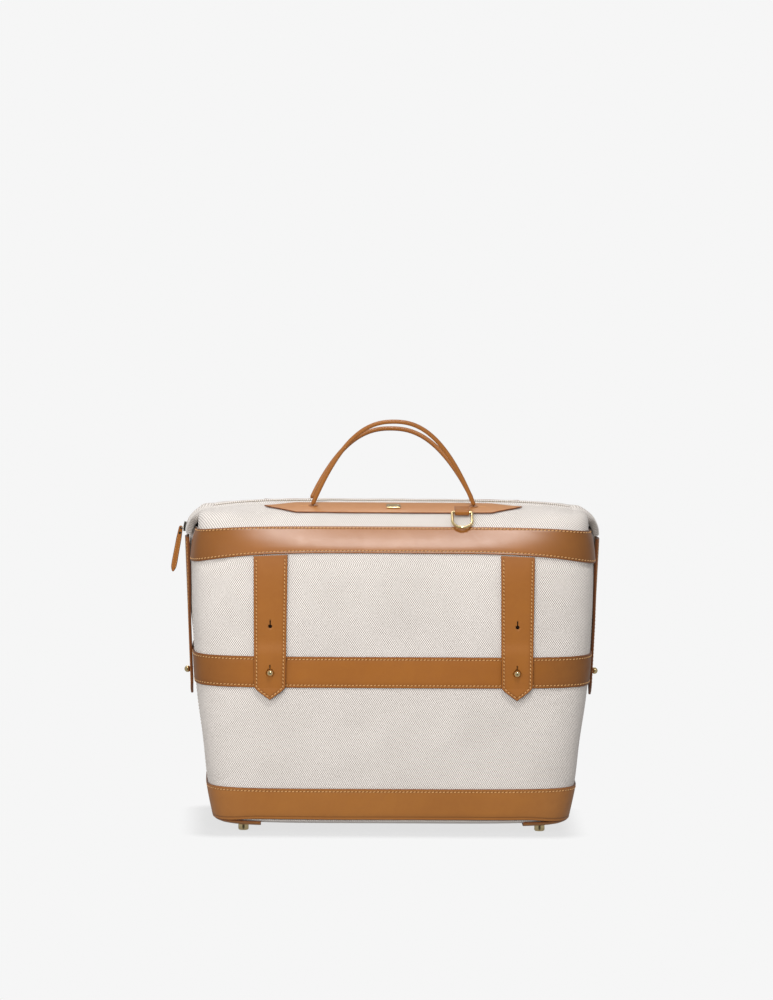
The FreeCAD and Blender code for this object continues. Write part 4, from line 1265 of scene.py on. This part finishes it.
# ---------------------------------------------------------------- straps

def strap_outline(z, top_z, shoulder_z, tip_z, half_top, half_low):
    """Half width of a strap at height z, with softened shoulders and a rounded tip."""
    zs = [tip_z, shoulder_z - 5.0, shoulder_z, top_z]
    ws = [0.0, half_low * 0.72, half_low, half_top]
    soft = sum(np.interp(z + d, zs, ws) for d in (-1.5, -0.75, 0, 0.75, 1.5)) / 5
    end = np.clip((z - tip_z) / 3.0, 0, 1)
    return np.where(z <= tip_z + 3.0, np.maximum(soft * np.sqrt(np.clip(1 - (1 - end) ** 2, 0, 1)), 0.0), soft)


def front_strap_surface(x, z):
    """Back of a strap that hangs on the canvas and steps out over the belt."""
    share = np.clip(x / along(HEIGHTS, HALF_WIDTHS, z), -0.999, 0.999)
    p = wall_at(share, (1.0 - np.abs(share) ** SQUARENESS) ** (1.0 / SQUARENESS), z)
    low, high = STRAP_RISE_Z
    t = np.clip((high - z) / (high - low), 0, 1)
    air = STRAP_AIR[0] + (STRAP_AIR[1] - STRAP_AIR[0]) * (3 * t ** 2 - 2 * t ** 3)
    air = air + STRAP_TIP_LIFT * np.maximum(BELT_LOW_Z - z, 0.0)
    return points(x, p[..., 1] - air, z)


def side_strap_surface(y, z):
    """Back of a strap that hangs straight at the side, its edges curling in."""
    x = SIDE_TOP_X - (SIDE_TOP_Z - z) * math.tan(math.radians(SIDE_TILT))
    curl = 0.5 + 1.9 * smooth(z, 225.0, 300.0)
    return points(x - curl * (np.abs(y) / SIDE_HALF) ** 2.2, y, z)


def strap_piece(node, surface, centre, top_z, shoulder_z, tip_z, half_top, half_low, holes, away, mirror, slope=0.0):
    """Buttoned strap with its holes and stitches; slope is how much the top edge falls across its width."""
    def half_at(z):
        return strap_outline(z, top_z, shoulder_z, tip_z, half_top, half_low)

    def fall(z, q):
        return slope * (q + 1) / 2 * np.clip((z - (top_z - 40)) / 40, 0, 1)

    z_list = tip_z + rows(top_z - tip_z, EDGE_R, 3.5, marks=(1.5, 2.5, 4.0, 6.0, 8.0, 9.5, 11.0, 12.5, 14.4, 16.0))
    q_list = rows(2 * half_top, EDGE_R, 3.0, marks=(3.0, 2 * half_top - 3.0)) / half_top - 1.0
    Z, Q = np.meshgrid(z_list, q_list, indexing="ij")
    half = np.maximum(half_at(Z), 0.02)
    X, low_z = centre + Q * half, Z - fall(Z, Q)
    lean = 1 / np.sqrt(1 + np.clip(np.gradient(half[:, 0], z_list), -3, 3) ** 2)
    edge = np.minimum((1 - np.abs(Q)) * half * lean[:, None], top_z - Z)
    edge = np.where(Z <= tip_z + 1e-6, 0.0, edge)
    seam = np.exp(-((edge - STRAP_INSET) / SEAM_WIDE) ** 2) * (Z < top_z - 2.2)
    piece = sheet(node + "_leather", surface(X, low_z), normal_of(surface, X, low_z, 0.2, 0.2, away), 0.0,
                  np.full(Z.shape, STRAP_THICK), edge, seam, np.stack([X - centre + 40.0, low_z], axis=-1), TAN,
                  EDGE_R, 0.3, 0.5, mirror)
    for hole_z, radius in holes:
        at = surface(np.array(centre), np.array(hole_z))
        n = normal_of(surface, np.array(centre), np.array(hole_z), 0.2, 0.2, away)
        keyhole(piece, at, n, radius, mirror)
        # painted shade: a dark disc behind each spare hole, so the hole shows dark through the strap
        if radius < STUD_HOLE_R:
            spot, way = at + np.array([0.0, 0.0, 2.5]) - n * 0.32, n
            if mirror is not None:
                spot, way = mirror(spot), mirror(way)
            shade_disc = lathe(node + "_hole_painted_shade", [(0.0, 0.0), (6.6, 0.0), (6.6, 0.24), (0.0, 0.24)], [spot], [way],
                           [hole_shade], 24)
            finish_piece(shade_disc, node)
    finish_piece(piece, node, [node])

    def height(t):
        return (top_z - 3.2) + ((tip_z + 3.4) - (top_z - 3.2)) * t

    def normal(t):
        return normal_of(surface, np.full(np.shape(t), centre), height(t), 0.2, 0.2, away)

    def row(side):
        def curve(t):
            z = height(t)
            inset = STRAP_INSET / np.interp(z, [tip_z, shoulder_z - 2, shoulder_z + 2], [0.72, 0.8, 1.0])
            return surface(centre + side * np.maximum(half_at(z) - inset, 0.15), z - fall(z, side * 0.9))
        return mirrored_run(run_along(curve, normal, lift=STRAP_THICK - 0.12, start=0.6, stop=0.4), mirror)
    finish_piece(thread_mesh(node + "_stitches", [row(-1), row(1)], [thread]), node)


def keyhole(piece, at, n, radius, mirror):
    """Cuts a round hole with a slit above it through a strap."""
    up = np.array([0.0, 0.0, 1.0])
    up = unit(up - n * np.dot(up, n))
    side = np.cross(up, n)
    slit = SLIT_HALF * 1.3
    gap = math.asin(min(slit / radius, 0.9))
    around = [math.pi / 2 + gap + (2 * math.pi - 2 * gap) * k / 32 for k in range(33)]
    outline = [(radius * math.cos(a), radius * math.sin(a)) for a in around]
    outline += [(slit, radius + SLIT_LONG), (-slit, radius + SLIT_LONG)]
    vertices = np.array([at + side * a + up * b + n * depth for depth in (-3.0, STRAP_THICK + 3.0) for a, b in outline])
    if mirror is not None:
        vertices = mirror(vertices)
    faces = ring_faces(2, len(outline))
    cutter = mesh_object("cutter", vertices, faces, TAN, face_material=[1] * len(faces))
    fix_normals(cutter)
    modifier = piece.modifiers.new("cut", "BOOLEAN")
    modifier.operation = "DIFFERENCE"
    modifier.object = cutter
    modifier.solver = "EXACT"
    graph = bpy.context.evaluated_depsgraph_get()
    whole, spare = piece.data, cutter.data
    fresh = bpy.data.meshes.new_from_object(piece.evaluated_get(graph))
    piece.modifiers.clear()
    piece.data = fresh
    bpy.data.objects.remove(cutter)
    for mesh in (whole, spare):
        bpy.data.meshes.remove(mesh)


def stud_profile(reach):
    """Post and ball; the ball's middle stands at the reach."""
    profile = [(0.0, 0.0), (2.9, 0.0), (2.9, 0.35), (2.3, 0.7), (1.75, 1.0), (1.6, 1.6), (1.6, reach - 3.6),
               (2.1, reach - 3.1)]
    for k in range(1, 15):
        a = math.radians(-52 + 142 * k / 14)
        profile.append((BALL_R * math.cos(a) if k < 14 else 0.0, reach + BALL_R * math.sin(a)))
    return profile


def own_box(node):
    """Lowest and highest corner of a CAD node, in the bag's own millimetres."""
    return [(np.array(corner) - ORIGIN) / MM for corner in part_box(node)]


def studs():
    for end, sign in (("front", -1), ("rear", 1)):
        low, high = own_box("%s_ball_studs" % end)
        root, tip = (high[1], low[1]) if sign < 0 else (low[1], high[1])
        piece = lathe("%s_studs_turned" % end, stud_profile(abs(tip - root) - BALL_R),
                      [(s * STRAP_X, root, STUD_Z) for s in (-1, 1)], [(0, sign, 0)] * 2, [brass])
        finish_piece(piece, "case", ["%s_ball_studs" % end])
    belt_x = float(hard_wall(np.array(0.0), np.array(SIDE_STUD_Z))[0]) + LAY_GAP + LEATHER + 0.3
    reach = own_box("side_ball_studs")[1][0] - belt_x - BALL_R
    piece = lathe("side_studs_turned", stud_profile(reach), [(s * belt_x, 0, SIDE_STUD_Z) for s in (-1, 1)],
                  [(s, 0, 0) for s in (-1, 1)], [brass])
    finish_piece(piece, "case", ["side_ball_studs"])


def straps():
    holes = [(STUD_Z, STUD_HOLE_R), (SPARE_HOLE_Z, SPARE_HOLE_R)]
    for corner, mirror in CORNERS:
        strap_piece(corner + "_strap", front_strap_surface, STRAP_X, STRAP_TOP_Z, STRAP_SHOULDER_Z, STRAP_TIP_Z,
                    STRAP_HALF_TOP, STRAP_HALF_LOW, holes, from_axis, mirror, STRAP_TOP_SLOPE)
    holes = [(SIDE_STUD_Z, STUD_HOLE_R), (SIDE_SPARE_Z, SPARE_HOLE_R)]
    for side, mirror in SIDES:
        strap_piece(side + "_side_strap", side_strap_surface, 0.0, SIDE_TOP_Z, SIDE_SHOULDER_Z, SIDE_TIP_Z,
                    SIDE_HALF, SIDE_HALF, holes, lambda p: points(1.0, 0.0 * p[..., 1], 0.0), mirror)


# ---------------------------------------------------------------- ears, end folds and puller

def ear_half(turn):
    run = (turn - EAR_LOW) / (EAR_HIGH - EAR_LOW)
    return EAR_HALF_END + (EAR_HALF_ROOT - EAR_HALF_END) * run


def ear_arc(turn):
    """Length round the ear's outside for a turn in degrees."""
    return turn * EAR_OUTER_R * math.pi / 180


def from_ear(p):
    return (p - np.array([EAR_X, 0.0, EAR_Z])) * np.array([1.0, 0.0, 1.0])


def ear_surface(turn, share):
    """Outside of a folded ear: a valley for the zip between two flanks, running on into the top past EAR_HIGH."""
    a = np.radians(np.minimum(turn, EAR_HIGH))
    extra = ear_arc(np.maximum(turn - EAR_HIGH, 0.0))
    half = ear_half(np.minimum(turn, EAR_HIGH))
    pinch = 0.6 * np.sin(share * 5.0 + turn * 0.05) * np.exp(-((turn - 45) / 30) ** 2)
    root = smooth(turn, 55.0, 93.0)
    flank = np.exp(-((np.abs(half * share) - 12.4) / 3.4) ** 2)
    valley = np.exp(-(half * share / 7.5) ** 2)
    r = EAR_OUTER_R - 0.6 + 0.5 * root - np.abs(pinch) + (1.6 + 0.7 * root) * flank - EAR_ZIP_SUNK * valley
    edge_a = math.radians(EAR_HIGH)
    x = EAR_X + r * np.cos(a) - extra * math.sin(edge_a)
    z = EAR_Z + r * np.sin(a) + extra * math.cos(edge_a) - 0.045 * extra ** 2
    return points(x, half * share, z)


def ear_thick(turn, share):
    deep = np.interp(turn, [EAR_LOW, 8.0, 28.0, 60.0, 84.0, 93.0, 110.0], [5.8, 7.6, 8.6, 8.6, 6.0, 4.0, 2.0])
    deep = deep * (0.45 + 0.55 * np.abs(share) ** 1.5)
    return -deep, np.zeros_like(deep)


def ears():
    turns = EAR_LOW + rows(ear_arc(EAR_HIGH - EAR_LOW) + 7.0, 1.5, 1.8) / EAR_OUTER_R * 180 / math.pi
    shares = rows(2 * EAR_HALF_ROOT, 4.2, 2.6) / EAR_HALF_ROOT - 1.0

    def edge(turn, share):
        across = (1 - np.abs(share)) * ear_half(np.minimum(turn, EAR_HIGH))
        return np.minimum(np.minimum(across, ear_arc(turn - EAR_LOW) * 3.0), ear_arc(turns[-1] - turn) * 3.0)
    for (side, mirror), sign in zip(SIDES, (1, -1)):
        piece = shell("%s_ear_cloth" % side, ear_surface, turns, shares, from_ear, 0, 0, FOLD_SHADED, radius=4.2,
                      steps=(0.3, 0.01), edge_distance=edge, thick=ear_thick, transform=mirror)
        ear_zip(side, mirror)
        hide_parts("%s_ear_canvas" % side)
        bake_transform(piece)


def ear_zip(side, mirror):
    """Tape and teeth sunk between the ear's two flanks."""
    def around(turn, y, r):
        a = np.radians(turn)
        r = r - EAR_ZIP_SUNK
        return points(EAR_X + r * np.cos(a), y, EAR_Z + r * np.sin(a))
    tape = shell("%s_ear_tape" % side, lambda turn, y: around(turn, y, EAR_OUTER_R - 0.45),
                 np.linspace(EAR_LOW + 0.5, EAR_HIGH - 0.5, 34), rows(18.0, 0.3, 2.0) - 9.0, from_ear, -0.1, 0.35,
                 [zip_tape] * 3, radius=0.3, steps=(0.3, 0.1), transform=mirror)
    finish_piece(tape, "%s_ear" % side, ["%s_ear_zip_tape" % side])
    vertices, faces = [], []
    half_turn = math.degrees(0.95 / EAR_OUTER_R)
    for i in range(20):
        for row in (-1, 1):
            turn = EAR_LOW + 5.0 + i * math.degrees(4.0 / EAR_OUTER_R) + row * half_turn * 1.05
            faces += ring_faces(2, 4, len(vertices))
            for r, narrow in ((EAR_OUTER_R - 0.4, 1.0), (EAR_OUTER_R + 0.3, 0.8)):
                for t, y in ((-half_turn, 0.25), (half_turn, 0.25), (half_turn, 2.75), (-half_turn, 2.75)):
                    vertices.append(around(turn + t * narrow * 0.9, row * (1.5 + (y - 1.5) * narrow), r))
    vertices = np.array(vertices).reshape(-1, 3)
    if mirror is not None:
        vertices = mirror(vertices)
    teeth = mesh_object("%s_ear_teeth" % side, vertices, faces, [brass], rounded=False)
    fix_normals(teeth)
    finish_piece(teeth, "%s_ear" % side, ["%s_ear_zip_teeth" % side])


def end_folds():
    """The cloth folded in under each ear."""
    near, far, half, low, tall = 203.5, 223.4, 46.0, 345.6, 8.6

    def surface(x, y):
        turned = np.clip((x - near) / (far - near), 0, 1)
        sunk = 1.0 - 0.12 * np.cos(y * math.pi / 90.0)
        return points(x, y, low + tall * sunk * (1 - turned ** 2.5) ** 0.4)
    for side, mirror in SIDES:
        piece = shell("canvas_%s_end_fold_cloth" % side, surface,
                      near + (far - near) * QUARTER_TURN,
                      rows(2 * half, THIN_EDGE_R, 3.0) - half, outward_up, -CANVAS, 0.0, FOLD_SHADED, radius=THIN_EDGE_R,
                      steps=(0.1, 0.2), transform=mirror)
        finish_piece(piece, "case", ["canvas_%s_end_fold" % side])


def puller():
    """Leather pull with its stitches; t runs down it from the rivet and u across it."""
    lean = math.radians(PULLER_LEAN)
    knots = [-2.3, -2.0, -1.2, 0.0, 12.0, 40.0, 45.5, 49.0, 51.2, PULLER_LONG]
    sizes = [0.05, 1.15, 1.95, 2.3, 3.0, 3.3, 3.15, 2.3, 1.05, 0.05]

    def half_at(t):
        return np.interp(t, knots, sizes)

    def at(u, t, y):
        return points(-PULLER_X + u * math.cos(lean) - t * math.sin(lean), y,
                      PULLER_Z - u * math.sin(lean) - t * math.cos(lean))

    def edge(q, t):
        return np.minimum((1 - np.abs(q)) * half_at(t), np.minimum(t + 2.3, PULLER_LONG - t) * 1.5)

    def facing(y, shape):
        return np.broadcast_to(np.array([0.0, float(y), 0.0]), shape)
    q_list = rows(6.6, 1.1, 0.8) / 3.3 - 1.0
    t_list = rows(PULLER_LONG + 2.3, 1.1, 1.6, marks=(1.0, 2.2)) - 2.3
    piece = shell("zip_puller_leather", lambda q, t: at(q * half_at(t), t, 0.0), q_list, t_list,
                  lambda p: facing(-1, p.shape), -1.25, 1.25, [tan, edge_dark, tan], radius=1.1, steps=(0.01, 0.05),
                  edge_distance=edge, paint=0.5)
    finish_piece(piece, "zip_puller", ["zip_puller"])
    runs = []
    for face in (-1, 1):
        for s in (-1, 1):
            def curve(t):
                d = 11.0 + 36.0 * t
                return at(s * (half_at(d) - 1.3), d, face * 1.2)
            runs.append(run_along(curve, lambda t: facing(face, (len(t), 3)), start=0.2, stop=0.2, pitch=3.0))
    finish_piece(thread_mesh("zip_puller_stitches", runs, [thread], 2.0, 0.26, 6.0), "zip_puller")


def kept_nodes():
    """CAD nodes whose own shape is right: they get their finish and small bevels."""
    for name, material, bevel in (
        ("zip_tape_front", zip_tape, 0), ("zip_tape_rear", zip_tape, 0), ("zip_teeth_front", brass, 0.0002),
        ("zip_teeth_rear", brass, 0.0002), ("zip_slider", steel, 0.0004),
        ("puller_rivet", brass, 0.0002), ("foot_washers", brass, 0.0002), ("base_board", board_fibre, 0),
    ):
        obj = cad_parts[name]
        obj.data.materials.clear()
        obj.data.materials.append(material)
        if bevel:
            modifier = obj.modifiers.new("soft edges", "BEVEL")
            modifier.width = bevel
            modifier.segments = 2
            modifier.limit_method = "ANGLE"


body_canvas()
bands()
gusset_seams()
bottom_cloth()
corner_patches()
feet()
tops()
tabs()
plaque()
handles()
ring()
ring_loop()
straps()
studs()
ears()
end_folds()
puller()
kept_nodes()


# ---------------------------------------------------------------- studio

def painted_shadow_floor_material():
    """Pale floor that fades into the backdrop colour away from the bag; its faint dark grey near the bag is a painted
    contact shadow, on top of the shadow the lamps cast.
    """
    m = surface_nodes("studio_floor")
    # painted shadow: the dark grey base, seen faintly near the bag, stands in for its soft contact shadow
    m.set(m.shader, {"Roughness": 0.9, "Specular IOR Level": 0.1, "Base Color": (0.17, 0.17, 0.17, 1.0)})
    where = m.axes(m.place["Object"])
    out_x = m.math("MAXIMUM", m.math("SUBTRACT", m.size(where[0]), 0.19), 0.0)
    out_y = m.math("MAXIMUM", m.math("SUBTRACT", m.size(where[1]), 0.09), 0.0)
    far = m.math("SQRT", m.math("ADD", m.times(out_x, out_x), m.times(out_y, out_y)))
    fade = m.span(far, 0.010, 0.048, 0.79, 1.0, interpolation_type="SMOOTHSTEP")
    clear = m.add("BsdfTransparent").outputs["BSDF"]
    mixer = m.add("MixShader", {0: fade, 1: m.shader.outputs["BSDF"], 2: clear})
    m.set(m.out, {"Surface": mixer.outputs[0]})
    return m.owner


def studio_floor():
    mesh = bpy.data.meshes.new("floor")
    s = 1.6
    mesh.from_pydata([(-s, -s, 0), (s, -s, 0), (s, s, 0), (-s, s, 0)], [], [(0, 1, 2, 3)])
    mesh.materials.append(painted_shadow_floor_material())
    floor = bpy.data.objects.new("floor", mesh)
    floor.location = (0.0, 0.0, ground - 0.0003)
    bpy.context.scene.collection.objects.link(floor)


def surroundings():
    """Pale room, calmer in reflections, with a dark screen in front: what a camera and its stand look to the metal."""
    world = bpy.data.worlds.new("studio")
    bpy.context.scene.world = world
    m = Nodes(world, "OutputWorld")
    way = m.place["Generated"]
    fade = m.add("ValToRGB", {0: m.span(m.axes(way)[2], -1.0, 1.0)})
    for element, place, grey in zip(fade.color_ramp.elements, (0.30, 0.85), (0.92, 1.0)):
        element.position = place
        element.color = (grey, grey, grey, 1.0)
    facing = m.vector("DOT_PRODUCT", {0: way, 1: (0.0, -0.995, -0.10)})["Value"]
    screen = m.span(facing, 0.84, 0.95, 1.0, 0.12, interpolation_type="SMOOTHSTEP")
    dim = m.vector("SCALE", {0: fade.outputs[0], "Scale": screen})["Vector"]
    ray = m.add("LightPath").outputs
    light = m.add("Background", {"Color": dim, "Strength": m.span(ray["Is Glossy Ray"], 0.0, 1.0, 0.585, 0.36)})
    seen = m.add("Background", {"Color": (0.921, 0.921, 0.921, 1.0), "Strength": 1.0})
    mixer = m.add("MixShader", {0: ray["Is Camera Ray"], 1: light.outputs[0], 2: seen.outputs[0]})
    m.set(m.out, {"Surface": mixer.outputs[0]})


def lamps():
    for name, place, aim, size, power in (
        ("key", (0.13, -1.64, 2.48), (0.0, 0.0, 0.33), (0.5, 0.5), 27.0),
        ("fill", (-0.65, -2.55, 0.85), (0.0, 0.0, 0.2), (2.2, 1.4), 50.0),
        ("rear_top", (-0.3, 1.1, 2.4), (0.0, 0.0, 0.3), (1.4, 1.0), 18.0),
        ("left", (-2.2, -1.0, 1.0), (0.0, 0.0, 0.2), (1.2, 1.2), 7.0),
    ):
        data = bpy.data.lights.new(name, "AREA")
        data.shape = "RECTANGLE"
        data.size, data.size_y = size
        data.energy = power
        lamp = bpy.data.objects.new(name, data)
        lamp.location = place
        lamp.rotation_mode = "QUATERNION"
        lamp.rotation_quaternion = (Vector(aim) - Vector(place)).to_track_quat("-Z", "Y")
        lamp.visible_glossy = name in ("key", "rear_top")
        bpy.context.scene.collection.objects.link(lamp)


def camera():
    """Long lens, a little above the bag and a touch to its left."""
    target = Vector(placed((-7.0, 0.0, 374.1)))
    azimuth, elevation, roll, distance = math.radians(-1.5), math.radians(6.0), math.radians(0.46), 8.0
    back = Vector((math.sin(azimuth) * math.cos(elevation), -math.cos(azimuth) * math.cos(elevation),
                   math.sin(elevation)))
    data = bpy.data.cameras.new("camera")
    data.sensor_width = 36.0
    data.lens = 249.85
    data.clip_start = 0.05
    data.clip_end = 50.0
    cam = bpy.data.objects.new("camera", data)
    cam.location = target + back * distance
    cam.rotation_mode = "QUATERNION"
    cam.rotation_quaternion = (-back).to_track_quat("-Z", "Y") @ Quaternion((0.0, 0.0, 1.0), roll)
    bpy.context.scene.collection.objects.link(cam)
    bpy.context.scene.camera = cam


studio_floor()
surroundings()
lamps()
camera()
bpy.context.scene.view_settings.view_transform = "Standard"
bpy.context.scene.view_settings.look = "None"
